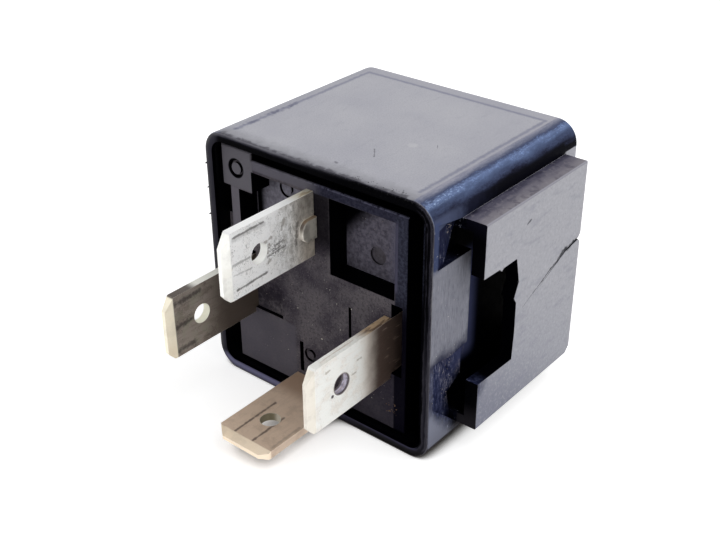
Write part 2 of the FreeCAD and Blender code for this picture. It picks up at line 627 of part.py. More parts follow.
def stop_lug():
    """Rounded lug on the near face of terminal 30 that stops the blade at the base."""
    outer = FACE_X_30 + LUG_STAND
    middle = CENTRE_Z_30 - TIP_CORNER_LOW / 4
    lug = box(FACE_X_30 - BLADE_THICKNESS / 2, outer, -LUG_LENGTH, -SLOT_GAP,
              middle - LUG_HEIGHT / 2, middle + LUG_HEIGHT / 2)
    front = edges_along(lug, V(1, 0, 0), lambda place: abs(place.y + LUG_LENGTH) < TOLERANCE)
    lug = lug.makeFillet(LUG_CORNER, front)
    rim = [edge for edge in lug.Edges if abs(edge.BoundBox.XMin - outer) < TOLERANCE]
    return lug.makeFillet(LUG_EDGE_RADIUS, rim)


def terminal_30():
    """Common terminal: blade, stop lug and the tenon that is staked in the yoke."""
    shape = upright_blade(FACE_X_30, CENTRE_Z_30, BLADE_LENGTH_30)
    tenon = box(FACE_X_30 - BLADE_THICKNESS, FACE_X_30, BASE_THICKNESS, YOKE_FOOT_BACK,
                TENON_LOW, TENON_LOW + TENON_HEIGHT)
    return clean(shape.fuse(stop_lug()).fuse(tenon))


def coil_terminal(face_x, centre_z, length):
    """Coil terminal: blade and the narrow post that a coil lead is wound on."""
    shape = upright_blade(face_x, centre_z, length)
    post = box(face_x - BLADE_THICKNESS, face_x, BASE_THICKNESS, POST_END,
               centre_z - POST_WIDTH / 2, centre_z + POST_WIDTH / 2)
    return clean(shape.fuse(post))


def bent_strip(y_end, z_in, thickness, bend, z_top, x0, x1, y_start):
    """Strip that runs along Y and turns up to Z at its far end."""
    z_out = z_in - thickness
    y_in = y_end - thickness
    strip = prism_x([(y_start, z_out), (y_end, z_out), (y_end, z_top), (y_in, z_top), (y_in, z_in),
                     (y_start, z_in)], x0, x1)
    strip = strip.makeFillet(bend, edges_at(strip, y_in, z_in))
    return strip.makeFillet(bend + thickness, edges_at(strip, y_end, z_out))


def terminal_87():
    """Working terminal: flat blade and the strip that carries the fixed contact."""
    flat = blade(BLADE_LENGTH_87, BASE_THICKNESS)
    flat.rotate(V(0, 0, 0), V(0, 1, 0), -90)
    flat.translate(V(CENTRE_X_87, 0, FACE_Z_87))
    strip = bent_strip(SHELF_Y, FACE_Z_87, BLADE_THICKNESS, SHELF_BEND, SHELF_TOP,
                       WORKS_X - SHELF_WIDTH / 2, WORKS_X + SHELF_WIDTH / 2, BASE_THICKNESS)
    hole = rod_y(WORKS_X, CONTACT_Z, SHELF_Y - 2 * BLADE_THICKNESS, SHELF_Y + CUT_MARGIN,
                 CONTACT_SHANK + 2 * RIVET_GAP)
    return clean(flat.fuse(strip).cut(hole))


def fixed_contact():
    """Contact rivet set in the end of the working terminal."""
    shelf_in = SHELF_Y - BLADE_THICKNESS
    end = shelf_in - CONTACT_TAIL_HEIGHT
    button = rod_y(WORKS_X, CONTACT_Z, SHELF_Y, FIXED_FACE_Y, FIXED_CONTACT_DIAMETER)
    shank = rod_y(WORKS_X, CONTACT_Z, end, FIXED_FACE_Y, CONTACT_SHANK)
    tail = rod_y(WORKS_X, CONTACT_Z, end, shelf_in, CONTACT_TAIL)
    return clean(button.fuse(shank).fuse(tail))


def yoke():
    """L-shaped iron frame: foot under the coil and long leg beside it."""
    left = WORKS_X - YOKE_WIDTH / 2
    right = WORKS_X + YOKE_WIDTH / 2
    profile = [(YOKE_FRONT, YOKE_FOOT_LOW), (YOKE_FRONT, YOKE_OUTER_Z), (POLE_FACE, YOKE_OUTER_Z),
               (POLE_FACE, YOKE_INNER_Z), (YOKE_FOOT_BACK, YOKE_INNER_Z), (YOKE_FOOT_BACK, YOKE_FOOT_LOW)]
    shape = prism_x(profile, left, right)
    shape = shape.makeFillet(YOKE_BEND, edges_at(shape, YOKE_FRONT, YOKE_OUTER_Z))
    through = YOKE_FOOT_BACK + CUT_MARGIN
    shape = shape.cut(rod_y(WORKS_X, CORE_Z, 0, through, CORE_DIAMETER + 2 * SEAT_GAP))
    shape = shape.cut(box(FACE_X_30 - BLADE_THICKNESS - SLOT_GAP, FACE_X_30 + SLOT_GAP, 0, through,
                          TENON_LOW - SLOT_GAP, TENON_LOW + TENON_HEIGHT + SLOT_GAP))
    for x in rivet_places():
        shape = shape.cut(rod_z(x, YOKE_RIVET_Y, YOKE_INNER_Z - CUT_MARGIN, INNER_TOP, RIVET_HOLE))
    return clean(shape)


def core():
    """Iron core with its pole plate, riveted in the yoke's foot."""
    shank = rod_y(WORKS_X, CORE_Z, YOKE_FRONT, POLE_FACE, CORE_DIAMETER)
    pole = rod_y(WORKS_X, CORE_Z, POLE_FACE - POLE_THICKNESS, POLE_FACE, POLE_DIAMETER)
    return clean(shank.fuse(pole))


def bobbin():
    """Winding former: a tube between two square flanges."""
    half = BOBBIN_SIDE / 2
    x0 = WORKS_X - half
    x1 = WORKS_X + half
    z0 = CORE_Z - half
    z1 = CORE_Z + half
    front = round_box(x0, x1, BOBBIN_FRONT, BOBBIN_FRONT + BOBBIN_FLANGE, z0, z1, BOBBIN_CORNER)
    back = round_box(x0, x1, BOBBIN_BACK - BOBBIN_FLANGE, BOBBIN_BACK, z0, z1, BOBBIN_CORNER)
    tube = rod_y(WORKS_X, CORE_Z, BOBBIN_FRONT, BOBBIN_BACK, tube_diameter())
    bore = rod_y(WORKS_X, CORE_Z, 0, END_Y, CORE_DIAMETER + 2 * SEAT_GAP)
    return clean(front.fuse(tube).fuse(back).cut(bore))


def tube_diameter():
    """Outside of the bobbin's tube."""
    return CORE_DIAMETER + 2 * SEAT_GAP + 2 * BOBBIN_TUBE_WALL


def winding_span():
    """Y range of the copper between the bobbin's flanges."""
    return BOBBIN_FRONT + BOBBIN_FLANGE + SEAT_GAP, BOBBIN_BACK - BOBBIN_FLANGE - SEAT_GAP


def coil_winding():
    """The winding's copper as one ring."""
    y0, y1 = winding_span()
    ring = rod_y(WORKS_X, CORE_Z, y0, y1, COIL_DIAMETER)
    return clean(ring.cut(rod_y(WORKS_X, CORE_Z, 0, END_Y, tube_diameter() + 2 * SEAT_GAP)))


def coil_tape():
    """One turn of tape over the winding, clear of the leads."""
    back = winding_span()[1] - TAPE_MARGIN
    inside = COIL_DIAMETER + 2 * SEAT_GAP
    ring = rod_y(WORKS_X, CORE_Z, LEAD_Y + LEAD_DIAMETER, back, inside + 2 * TAPE_THICKNESS)
    return clean(ring.cut(rod_y(WORKS_X, CORE_Z, 0, END_Y, inside)))


def coil_lead(face_x, centre_z, side):
    """Lead from the winding to its post, with one turn round the post."""
    radius = LEAD_DIAMETER / 2
    off = radius + SEAT_GAP
    x0 = face_x - BLADE_THICKNESS - off
    x1 = face_x + off
    z0 = centre_z - POST_WIDTH / 2 - off
    z1 = centre_z + POST_WIDTH / 2 + off
    corners = [V(x0, LEAD_Y, z0), V(x1, LEAD_Y, z0), V(x1, LEAD_Y, z1), V(x0, LEAD_Y, z1)]
    shape = None
    for index, corner in enumerate(corners):
        run = corners[(index + 1) % 4].sub(corner)
        piece = Part.makeCylinder(radius, run.Length, corner, run).fuse(Part.makeSphere(radius, corner))
        shape = piece if shape is None else shape.fuse(piece)
    start = V(x0 if side > 0 else x1, LEAD_Y, z1)
    reach = COIL_DIAMETER / 2 + radius + SEAT_GAP
    to_post = math.atan2(start.z - CORE_Z, start.x - WORKS_X)
    span = math.hypot(start.z - CORE_Z, start.x - WORKS_X)
    angle = to_post + side * math.acos(reach / span)
    touch = V(WORKS_X + reach * math.cos(angle), LEAD_Y, CORE_Z + reach * math.sin(angle))
    run = start.sub(touch)
    lead = Part.makeCylinder(radius, run.Length, touch, run).fuse(Part.makeSphere(radius, touch))
    return clean(shape.fuse(lead))


def rivet_places():
    """X of the two rivets of each riveted joint."""
    return WORKS_X - RIVET_SPACING / 2, WORKS_X + RIVET_SPACING / 2


def opened(shape):
    """Turns a piece of the closed armature to where it rests."""
    shape.rotate(V(0, HINGE_Y, HINGE_Z), V(1, 0, 0), OPEN_ANGLE)
    return shape


def armature():
    """Hinged iron plate with rivet holes, at rest away from the pole."""
    top = HINGE_Z - ARMATURE_SETBACK
    profile = [(ARMATURE_Y, ARMATURE_LOW), (ARMATURE_Y, top), (ARMATURE_TOP_Y - ARMATURE_CHAMFER, top),
               (ARMATURE_TOP_Y, top - ARMATURE_CHAMFER), (ARMATURE_TOP_Y, ARMATURE_LOW)]
    shape = prism_x(profile, WORKS_X - ARMATURE_WIDTH / 2, WORKS_X + ARMATURE_WIDTH / 2)
    for x in rivet_places():
        shape = shape.cut(rod_y(x, ARMATURE_RIVET_Z, POLE_FACE, END_Y, RIVET_HOLE))
    return opened(clean(shape))


def armature_rivets():
    """Two rivets that hold the leaf on the armature."""
    rivets = []
    top = SPRING_TOP_Y + RIVET_GAP
    for x in rivet_places():
        shank = rod_y(x, ARMATURE_RIVET_Z, ARMATURE_Y, top + RIVET_HEAD_HEIGHT, RIVET_DIAMETER)
        head = rod_y(x, ARMATURE_RIVET_Z, top, top + RIVET_HEAD_HEIGHT, RIVET_HEAD)
        rivets.append(opened(clean(shank.fuse(head))))
    return Part.makeCompound(rivets)


def yoke_rivets():
    """Two rivets that hold the leaf's tail on the yoke."""
    rivets = []
    top = YOKE_OUTER_Z + SPRING_THICKNESS + 2 * RIVET_GAP
    for x in rivet_places():
        shank = rod_z(x, YOKE_RIVET_Y, YOKE_INNER_Z, top + RIVET_HEAD_HEIGHT, RIVET_DIAMETER)
        head = rod_z(x, YOKE_RIVET_Y, top, top + RIVET_HEAD_HEIGHT, RIVET_HEAD)
        rivets.append(clean(shank.fuse(head)))
    return Part.makeCompound(rivets)


def opened_point(y, z):
    """Where a point of the closed armature lies at rest, in the YZ plane."""
    angle = math.radians(OPEN_ANGLE)
    dy = y - HINGE_Y
    dz = z - HINGE_Z
    turned_y = dy * math.cos(angle) - dz * math.sin(angle)
    turned_z = dy * math.sin(angle) + dz * math.cos(angle)
    return HINGE_Y + turned_y, HINGE_Z + turned_z


def spring_profile():
    """Side view of the leaf at rest: tail on the yoke, bend, and the long arm on the armature."""
    tail_in = YOKE_OUTER_Z + RIVET_GAP
    angle = math.radians(OPEN_ANGLE)
    arm_y, arm_z = opened_point(ARMATURE_TOP_Y + RIVET_GAP, HINGE_Z - 2 * SPRING_BEND)
    end_y, end_z = opened_point(ARMATURE_TOP_Y + RIVET_GAP, SPRING_END_Z)
    along = V(0, -math.sin(angle), math.cos(angle))
    across = V(0, math.cos(angle), math.sin(angle))
    turn = math.pi / 2 - angle
    centre_z = tail_in - SPRING_BEND
    reach = (centre_z - arm_z - across.z * -SPRING_BEND) / along.z
    centre = V(0, arm_y, arm_z).add(along * reach).sub(across * SPRING_BEND)
    wires = []
    for radius in (SPRING_BEND, SPRING_BEND + SPRING_THICKNESS):
        shift = radius - SPRING_BEND
        top = centre.add(V(0, 0, radius))
        side = centre.add(across * radius)
        half = centre.add(V(0, math.sin(turn / 2) * radius, math.cos(turn / 2) * radius))
        tail = V(0, SPRING_TAIL_Y, tail_in + shift)
        end = V(0, end_y, end_z).add(across * shift)
        wires.append((tail, top, half, side, end))
    inner, outer = wires
    edges = [Part.makeLine(inner[0], inner[1]), Part.Arc(inner[1], inner[2], inner[3]).toShape(),
             Part.makeLine(inner[3], inner[4]), Part.makeLine(inner[4], outer[4]),
             Part.makeLine(outer[4], outer[3]), Part.Arc(outer[3], outer[2], outer[1]).toShape(),
             Part.makeLine(outer[1], outer[0]), Part.makeLine(outer[0], inner[0])]
    return Part.Face(Part.Wire(edges))


def contact_spring():
    """Leaf spring riveted to yoke and armature, with the contact on its narrow end and a stop ear."""
    left = WORKS_X - SPRING_WIDTH / 2
    right = WORKS_X + SPRING_WIDTH / 2
    face = spring_profile()
    face.translate(V(left, 0, 0))
    shape = face.extrude(V(EAR_X - left, 0, 0))
    neck_left = WORKS_X - SPRING_NECK_WIDTH / 2
    neck_right = WORKS_X + SPRING_NECK_WIDTH / 2
    outline = [(left, INNER_TOP), (right, INNER_TOP), (right, SPRING_NECK_Z),
               (neck_right + SPRING_BEND, EAR_TOP), (EAR_X, EAR_TOP),
               (EAR_X, EAR_BOTTOM), (neck_right, EAR_BOTTOM),
               (neck_right, INNER_BOTTOM), (neck_left, INNER_BOTTOM), (neck_left, EAR_TOP),
               (left, SPRING_NECK_Z)]
    shape = shape.common(prism_y(outline, SPRING_TAIL_Y - CUT_MARGIN, END_Y))
    for x in rivet_places():
        shape = shape.cut(opened(rod_y(x, ARMATURE_RIVET_Z, ARMATURE_Y, END_Y, RIVET_HOLE)))
        shape = shape.cut(rod_z(x, YOKE_RIVET_Y, YOKE_INNER_Z, INNER_TOP, RIVET_HOLE))
    hole = rod_y(WORKS_X, CONTACT_Z, ARMATURE_Y, END_Y, CONTACT_SHANK + 2 * RIVET_GAP)
    return clean(shape.cut(opened(hole)))


def moving_contact():
    """Contact rivet on the leaf's end."""
    face = ARMATURE_TOP_Y - MOVING_CONTACT_HEIGHT
    head_in = SPRING_TOP_Y + 2 * RIVET_GAP
    head_out = head_in + CONTACT_TAIL_HEIGHT
    button = rod_y(WORKS_X, CONTACT_Z, face, ARMATURE_TOP_Y, MOVING_CONTACT_DIAMETER)
    shank = rod_y(WORKS_X, CONTACT_Z, face, head_out, CONTACT_SHANK)
    head = rod_y(WORKS_X, CONTACT_Z, head_in, head_out, CONTACT_TAIL)
    return opened(clean(button.fuse(shank).fuse(head)))


def rest_stop():
    """Strip set in the base whose finger stops the leaf's ear at rest."""
    ear_y = opened_point(SPRING_TOP_Y + RIVET_GAP, EAR_BOTTOM)[0]
    finger_out = ear_y + SEAT_GAP + STOP_THICKNESS
    return clean(bent_strip(finger_out, FACE_Z_87, STOP_THICKNESS, STOP_BEND, STOP_FINGER_TOP,
                            STOP_LEFT, STOP_LEFT + STOP_WIDTH, STOP_ROOT))


def main():
    """Builds every piece and writes one file for each."""
    pieces = {
        "cover": cover(),
        "base": base(),
        "terminal_30": terminal_30(),
        "terminal_85": coil_terminal(FACE_X_85, CENTRE_Z_85, BLADE_LENGTH_85),
        "terminal_86": coil_terminal(FACE_X_86, CENTRE_Z_86, BLADE_LENGTH_86),
        "terminal_87": terminal_87(),
        "fixed_contact": fixed_contact(),
        "yoke": yoke(),
        "core": core(),
        "bobbin": bobbin(),
        "coil_winding": coil_winding(),
        "coil_tape": coil_tape(),
        "coil_lead_85": coil_lead(FACE_X_85, CENTRE_Z_85, 1),
        "coil_lead_86": coil_lead(FACE_X_86, CENTRE_Z_86, -1),
        "armature": armature(),
        "armature_rivets": armature_rivets(),
        "contact_spring": contact_spring(),
        "yoke_rivets": yoke_rivets(),
        "moving_contact": moving_contact(),
        "rest_stop": rest_stop(),
    }
    os.makedirs("parts", exist_ok=True)
    for name, shape in pieces.items():
        print(name, len(shape.Solids), shape.isValid(), round(shape.Volume, 2))
        shape.exportStep(os.path.join("parts", name + ".step"))


main()
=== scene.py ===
"""Looks of the automotive relay: finishes, dirt and studio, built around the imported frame."""
import functools
import json
import math
import random

import bmesh
import bpy
from mathutils import Matrix, Vector
from mathutils.bvhtree import BVHTree


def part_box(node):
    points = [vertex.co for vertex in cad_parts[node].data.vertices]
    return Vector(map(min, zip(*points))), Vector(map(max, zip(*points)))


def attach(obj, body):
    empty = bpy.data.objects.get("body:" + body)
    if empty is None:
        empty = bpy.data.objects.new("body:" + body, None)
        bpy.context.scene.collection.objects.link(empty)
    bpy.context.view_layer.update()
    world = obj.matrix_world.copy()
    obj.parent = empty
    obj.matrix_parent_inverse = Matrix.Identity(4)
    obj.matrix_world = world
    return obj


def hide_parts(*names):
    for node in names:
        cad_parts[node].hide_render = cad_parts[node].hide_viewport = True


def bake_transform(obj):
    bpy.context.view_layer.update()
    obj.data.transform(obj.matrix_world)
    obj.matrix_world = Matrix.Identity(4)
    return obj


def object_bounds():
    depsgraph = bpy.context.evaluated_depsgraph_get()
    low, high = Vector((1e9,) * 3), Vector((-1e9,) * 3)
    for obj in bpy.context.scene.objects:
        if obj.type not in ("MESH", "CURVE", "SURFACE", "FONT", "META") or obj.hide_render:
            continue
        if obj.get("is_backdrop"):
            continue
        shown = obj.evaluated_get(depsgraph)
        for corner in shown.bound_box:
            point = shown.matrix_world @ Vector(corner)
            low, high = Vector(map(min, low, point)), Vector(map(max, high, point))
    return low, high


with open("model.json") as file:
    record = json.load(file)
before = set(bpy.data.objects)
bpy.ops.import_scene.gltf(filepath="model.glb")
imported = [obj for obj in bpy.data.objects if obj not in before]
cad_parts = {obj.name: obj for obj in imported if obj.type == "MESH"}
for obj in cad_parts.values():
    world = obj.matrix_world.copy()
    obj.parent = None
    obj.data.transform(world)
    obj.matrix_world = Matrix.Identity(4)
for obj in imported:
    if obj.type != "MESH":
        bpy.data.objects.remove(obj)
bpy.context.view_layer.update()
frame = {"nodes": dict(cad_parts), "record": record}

MM = 0.001

# The photograph's camera: place in millimetres, angles in degrees.
PICTURE_WIDTH_PX = 720
CAMERA_PLACE = Vector((56.884, -63.175, 51.067))
CAMERA_YAW = 39.603
CAMERA_PITCH = 29.965
CAMERA_ROLL = -0.312
CAMERA_FOCAL_PX = 1097.717
SENSOR_WIDTH = 36.0

# Lamps stand at a distance from the part and look at its middle.
LAMP_DISTANCE = 1000.0
LAMP_FULL_LEVEL = math.pi ** 2

# Each lamp's name, the direction it stands in, its size in millimetres and its share of the full level.
LAMPS = (
    ("key_lamp", (0.62, 0.30, 0.86), 1000.0, 0.56),
    ("side_lamp", (1.0, 0.05, 0.32), 800.0, 0.08),
    ("front_lamp", (-0.25, -1.0, 0.45), 1000.0, 0.1),
)

# Room and floor: the contact is the reach, in millimetres, of the dark line under the part, a painted
# contact shadow in the floor's colour.
AMBIENT = 0.52
FLOOR_SIZE = 4000.0
FLOOR_WHITE = 0.82
FLOOR_OWN_LIGHT = 0.58
FLOOR_CONTACT = 2.6
CONTACT_SHADOW_BROWN = (0.07, 0.055, 0.04, 1.0)
CONTACT_SHADOW_RANGE = (0.22, 0.52)
GLOW_RANGE = (0.3, 0.6)

# Real places on the case that the paint follows, in millimetres.
CASE_HALF_WIDTH = 13.0
CASE_TOP = 12.75
RIM_FACE = -0.9
PLATE_OUTER = 15.35
PLATE_BACK = 19.1
PLATE_LOW = -10.1
PLATE_HIGH = 10.4
LAND_LOW = -2.3
LAND_HIGH = 6.85
LAND_BACK = 4.5
SOCKET_INNER = 10.6
CASE_CORNER = 2.2
CASE_WALL = 0.9
PANEL_HALF = 10.35
PANEL_FRONT = 0.6
PANEL_BACK = 19.7
POCKET_DEPTH = 2.3
POCKETS_LEFT = -9.7
POCKETS_RIGHT = 8.5
POCKETS_LOW = 2.0
DIMPLE_X = 4.8
DIMPLE_Z = 4.25
BOSS_X = -10.0
BOSS_Z = 9.2
BOSS_RING = 0.85
BOSS_RIGHT = -7.9
BOSS_LOW = 7.3
TOP_BAR_LOW = 9.6
LEFT_BAR_RIGHT = -9.6
RIGHT_BAR_LEFT = 8.45
LEFT_POCKET_RIGHT = -1.9
HOLE_RADIUS = 0.95

# Loose dirt and torn plastic.
DIRT_SEED = 40
BASE_DUST_MARKS = (
    (-2.9, -3.0, 0.16), (0.0, -5.25, 0.22), (1.1, 0.45, 0.14), (1.9, -0.7, 0.14), (3.6, -0.6, 0.12),
)
BURR_SEED = 7
BURR_HEIGHTS = (9.25, 6.8, 4.05)
BURR_SIDES = 6
BURR_SPREAD = 0.16
BURR_SINK = 0.2
BURR_REACH = 0.24

# Share of the full light that reaches the faces that look forward.
FRONT_LIGHT = 0.66

# Distance from one turn of the coil's wire to the next.
WIRE_PITCH = 0.16

# How metallic a blade's face is; its tip has a value of its own.
BLADE_METAL = 0.15

# Share of a blade's own tone that its cracks and the worn spots of its tip keep.
CRACK_LIGHT = 0.22
TIP_WEAR_LIGHT = 0.72

# Bare metals: the darker and the lighter tone, and how far their rubbing is drawn out along y.
METALS = {
    "contact_silver": ((196, 194, 190), (226, 224, 220), 1),
    "iron": ((150, 148, 144), (190, 188, 184), 6),
    "rivet_steel": ((140, 138, 136), (188, 186, 184), 1),
    "spring_bronze": ((176, 124, 70), (206, 156, 100), 6),
    "stop_brass": ((176, 146, 74), (210, 182, 108), 1),
}

# Scratches on the top: start and end along x and y, and a width, in millimetres.
TOP_SCRATCHES = (
    ((2.2, 5.0), (3.2, 3.7), 0.1),
    ((1.3, 0.8), (1.6, 0.75), 0.2),
    ((9.1, 0.1), (9.5, -0.5), 0.16),
    ((6.0, 9.0), (6.4, 8.4), 0.05),
)

# Small dark nicks on the grey blade, along and across it.
BLADE_GREY_NICKS = (
    ((-6.1, -5.3), (7.3, 7.5)),
    ((-5.9, -5.6), (6.2, 6.9)),
    ((-4.1, -3.8), (7.8, 8.4)),
    ((-5.9, -5.6), (5.1, 5.4)),
)

# The crack in the plate, from its notch on: place along y and z, width and strength of each bend.
PLATE_CRACK = (
    (18.9, 2.75, 0.2, 0.95), (17.9, 2.72, 0.24, 0.95), (17.2, 2.4, 0.34, 0.9), (16.5, 2.5, 0.5, 0.85),
    (15.8, 2.25, 0.44, 0.8), (15.2, 1.85, 0.22, 0.8), (14.0, 1.5, 0.17, 0.75), (12.6, 0.85, 0.14, 0.6),
    (11.2, 0.3, 0.12, 0.4), (9.6, -0.4, 0.1, 0.2),
)


def srgb(red, green, blue, light=1.0):
    """Linear colour of an 8-bit one that is seen under a share of the full light."""
    def linear(level):
        part = level / 255
        if part <= 0.04045:
            return part / 12.92
        return ((part + 0.055) / 1.055) ** 2.4
    return tuple(min(linear(level) / light, 0.95) for level in (red, green, blue)) + (1.0,)


def shaded(tone, light):
    """Linear colour of a tone that gets a share of the light."""
    return tuple(part * light for part in srgb(*tone)[:3]) + (1.0,)


DARK = srgb(1, 1, 3)


def feed(socket, value):
    """Links an output to a socket, or writes a plain value on it."""
    if isinstance(value, bpy.types.NodeSocket):
        socket.id_data.links.new(value, socket)
    else:
        socket.default_value = value


def new_node(kind, *values, **settings):
    """New node in its values' tree, with the values on its first sockets."""
    tree = next(value.id_data for value in values if isinstance(value, bpy.types.NodeSocket))
    node = tree.nodes.new("ShaderNode" + kind)
    for name, setting in settings.items():
        setattr(node, name, setting)
    for socket, value in zip(node.inputs, values):
        feed(socket, value)
    return node


def calc(operation, first, second=0.0, clamp=False):
    return new_node("Math", first, second, operation=operation, use_clamp=clamp).outputs[0]


def vector_calc(operation, first, second=(0.0, 0.0, 0.0)):
    outputs = new_node("VectorMath", first, second, operation=operation).outputs
    return outputs["Value" if operation in ("LENGTH", "DOT_PRODUCT") else "Vector"]


def scaled(vector, factor):
    """Vector times a factor, which goes on the fourth socket."""
    return new_node("VectorMath", vector, vector, vector, factor, operation="SCALE").outputs["Vector"]


def split(vector):
    return new_node("SeparateXYZ", vector).outputs


def ramp(value, low, high, start=0.0, end=1.0, kind="SMOOTHSTEP"):
    """Step of a value from start at low to end at high, smooth or linear."""
    return new_node("MapRange", value, low, high, start, end, interpolation_type=kind).outputs[0]


def plus(value, other, times=1.0):
    return calc("ADD", value, share(other, times))


def minus(value, other, times=1.0):
    return calc("SUBTRACT", value, share(other, times))


def wavy(value, noise, reach):
    """Value that wanders with a noise, by up to half the reach to each side."""
    return plus(value, calc("SUBTRACT", noise, 0.5), reach)


def above(value, limit, soft):
    return ramp(value, limit - soft, limit + soft)


def below(value, limit, soft):
    return ramp(value, limit - soft, limit + soft, 1.0, 0.0)


def between(value, low, high, soft):
    return both(above(value, low, soft), below(value, high, soft))


def both(*masks):
    """Where all the masks are on."""
    return functools.reduce(share, masks)


def either(*masks):
    """Where any mask is on."""
    return functools.reduce(functools.partial(calc, "MAXIMUM"), masks)


def apart(mask):
    return calc("SUBTRACT", 1.0, mask, clamp=True)


def share(mask, amount):
    return calc("MULTIPLY", mask, amount)


class Paint:
    """One material: its colour is laid coat by coat. Places are millimetres of the part's frame."""

    def __init__(self, name, metallic=0.0, specular=0.5, light=1.0):
        self.material = bpy.data.materials.new(name)
        self.material.use_nodes = True
        self.tree = self.material.node_tree
        self.shader = self.tree.nodes["Principled BSDF"]
        self.shader.inputs["Metallic"].default_value = metallic
        self.shader.inputs["Specular IOR Level"].default_value = specular
        coordinates = self.tree.nodes.new("ShaderNodeTexCoord")
        self.place = vector_calc("MULTIPLY", coordinates.outputs["Object"], (1 / MM, 1 / MM, 1 / MM))
        self.x, self.y, self.z = split(self.place)
        self.facing_x, self.facing_y, self.facing_z = split(coordinates.outputs["Normal"])
        self.faces_up = above(self.facing_z, 0.6, 0.1)
        self.grain = self.noise(0.35, detail=4.0)
        self.light = light
        self.colour = None
        self.height = 0.0

    def noise(self, size, detail, stretch=(1, 1, 1), roughness=0.5, warp=0.0, offset=0.0):
        """Noise whose blotches are about size across, drawn out along the stretched axes."""
        moved = vector_calc("DIVIDE", self.place, tuple(float(part) for part in stretch))
        moved = vector_calc("ADD", moved, (offset, offset * 0.7, -offset))
        node = self.tree.nodes.new("ShaderNodeTexNoise")
        feed(node.inputs["Vector"], moved)
        node.inputs["Scale"].default_value = 1 / size
        node.inputs["Detail"].default_value = detail
        node.inputs["Roughness"].default_value = roughness
        node.inputs["Distortion"].default_value = warp
        return node.outputs["Fac"]

    def gradient(self, value, *stops):
        """Colour that runs through the stops, each a value and the colour there."""
        first, last = stops[0][0], stops[-1][0]
        node = self.tree.nodes.new("ShaderNodeValToRGB")
        bands = node.color_ramp.elements
        bands.remove(bands[1])
        bands[0].position = 0.0
        bands[0].color = self.tone(stops[0][1])
        for level, colour in stops[1:]:
            bands.new((level - first) / (last - first)).color = self.tone(colour)
        feed(node.inputs[0], calc("DIVIDE", calc("SUBTRACT", value, first), last - first))
        return node.outputs["Color"]

    def veins(self, size, width, warp=0.8, offset=0.0):
        """Thin winding lines, about a size apart."""
        winding = calc("SUBTRACT", self.noise(size, detail=4.0, warp=warp, offset=offset), 0.5)
        return below(calc("ABSOLUTE", winding), width, width * 0.5)

    def stroke(self, start, end, width, ragged):
        """Mask of a line between two places, with a ragged edge."""
        start, end = Vector(start), Vector(end)
        run = end - start
        from_start = vector_calc("SUBTRACT", self.place, tuple(start))
        along = vector_calc("DOT_PRODUCT", from_start, tuple(run / run.length_squared))
        along = calc("ADD", along, 0.0, clamp=True)
        nearest = scaled(tuple(run), along)
        distance = vector_calc("LENGTH", vector_calc("SUBTRACT", from_start, nearest))
        return ramp(wavy(distance, self.grain, width * ragged * 3), width * 0.1, width * 0.9, 1.0, 0.0)

    def distance(self, place):
        return vector_calc("LENGTH", vector_calc("SUBTRACT", self.place, place))

    def spot(self, place, radius, ragged):
        """Mask of a round spot with a ragged edge."""
        distance = wavy(self.distance(place), self.grain, radius * ragged * 2)
        return ramp(distance, radius * 0.6, radius * 1.1, 1.0, 0.0)

    def edge(self, radius):
        """Mask of the sharp edges within a radius, from how much the rounded normal turns there."""
        rounded = self.tree.nodes.new("ShaderNodeBevel")
        rounded.samples = 4
        rounded.inputs["Radius"].default_value = radius * MM
        plain = self.tree.nodes.new("ShaderNodeNewGeometry").outputs["Normal"]
        turn = vector_calc("DOT_PRODUCT", rounded.outputs["Normal"], plain)
        return ramp(calc("SUBTRACT", 1.0, turn), 0.02, 0.25)

    def tone(self, value):
        """Three numbers are red, green and blue as they are seen; anything else is a colour already."""
        if isinstance(value, tuple) and len(value) == 3:
            return srgb(*value, self.light)
        return value

    def over(self, under, colour, mask, strength=1.0):
        """One colour over another where the mask is on."""
        node = self.tree.nodes.new("ShaderNodeMix")
        node.data_type = "RGBA"
        feed(node.inputs["Factor"], share(mask, strength))
        feed(node.inputs["A"], self.tone(under))
        feed(node.inputs["B"], self.tone(colour))
        return node.outputs["Result"]

    def lay(self, colour, mask, strength=1.0):
        """Lays a colour on the paint where the mask is on."""
        self.colour = self.over(self.colour, colour, mask, strength)

    def raise_by(self, amount, depth):
        """Adds a height in millimetres, where the amount is on, to the bump."""
        self.height = plus(self.height, amount, depth)

    def finish(self, roughness):
        """Feeds the shader with the colour, the roughness and the bump."""
        feed(self.shader.inputs["Base Color"], self.colour)
        feed(self.shader.inputs["Roughness"], roughness)
        bump = self.tree.nodes.new("ShaderNodeBump")
        bump.inputs["Distance"].default_value = MM
        feed(bump.inputs["Height"], self.height)
        feed(self.shader.inputs["Normal"], bump.outputs["Normal"])
        return self.material


def wall_depth(paint):
    """Distance in from the case's outer wall, round its corners too."""
    across = calc("SUBTRACT", calc("ABSOLUTE", paint.x), CASE_HALF_WIDTH - CASE_CORNER)
    up = calc("SUBTRACT", calc("ABSOLUTE", paint.z), CASE_TOP - CASE_CORNER)
    squares = [calc("POWER", calc("MAXIMUM", part, 0.0), 2.0) for part in (across, up)]
    outside = calc("POWER", plus(*squares), 0.5)
    within = calc("MINIMUM", calc("MAXIMUM", across, up), 0.0)
    return calc("SUBTRACT", CASE_CORNER, plus(outside, within))


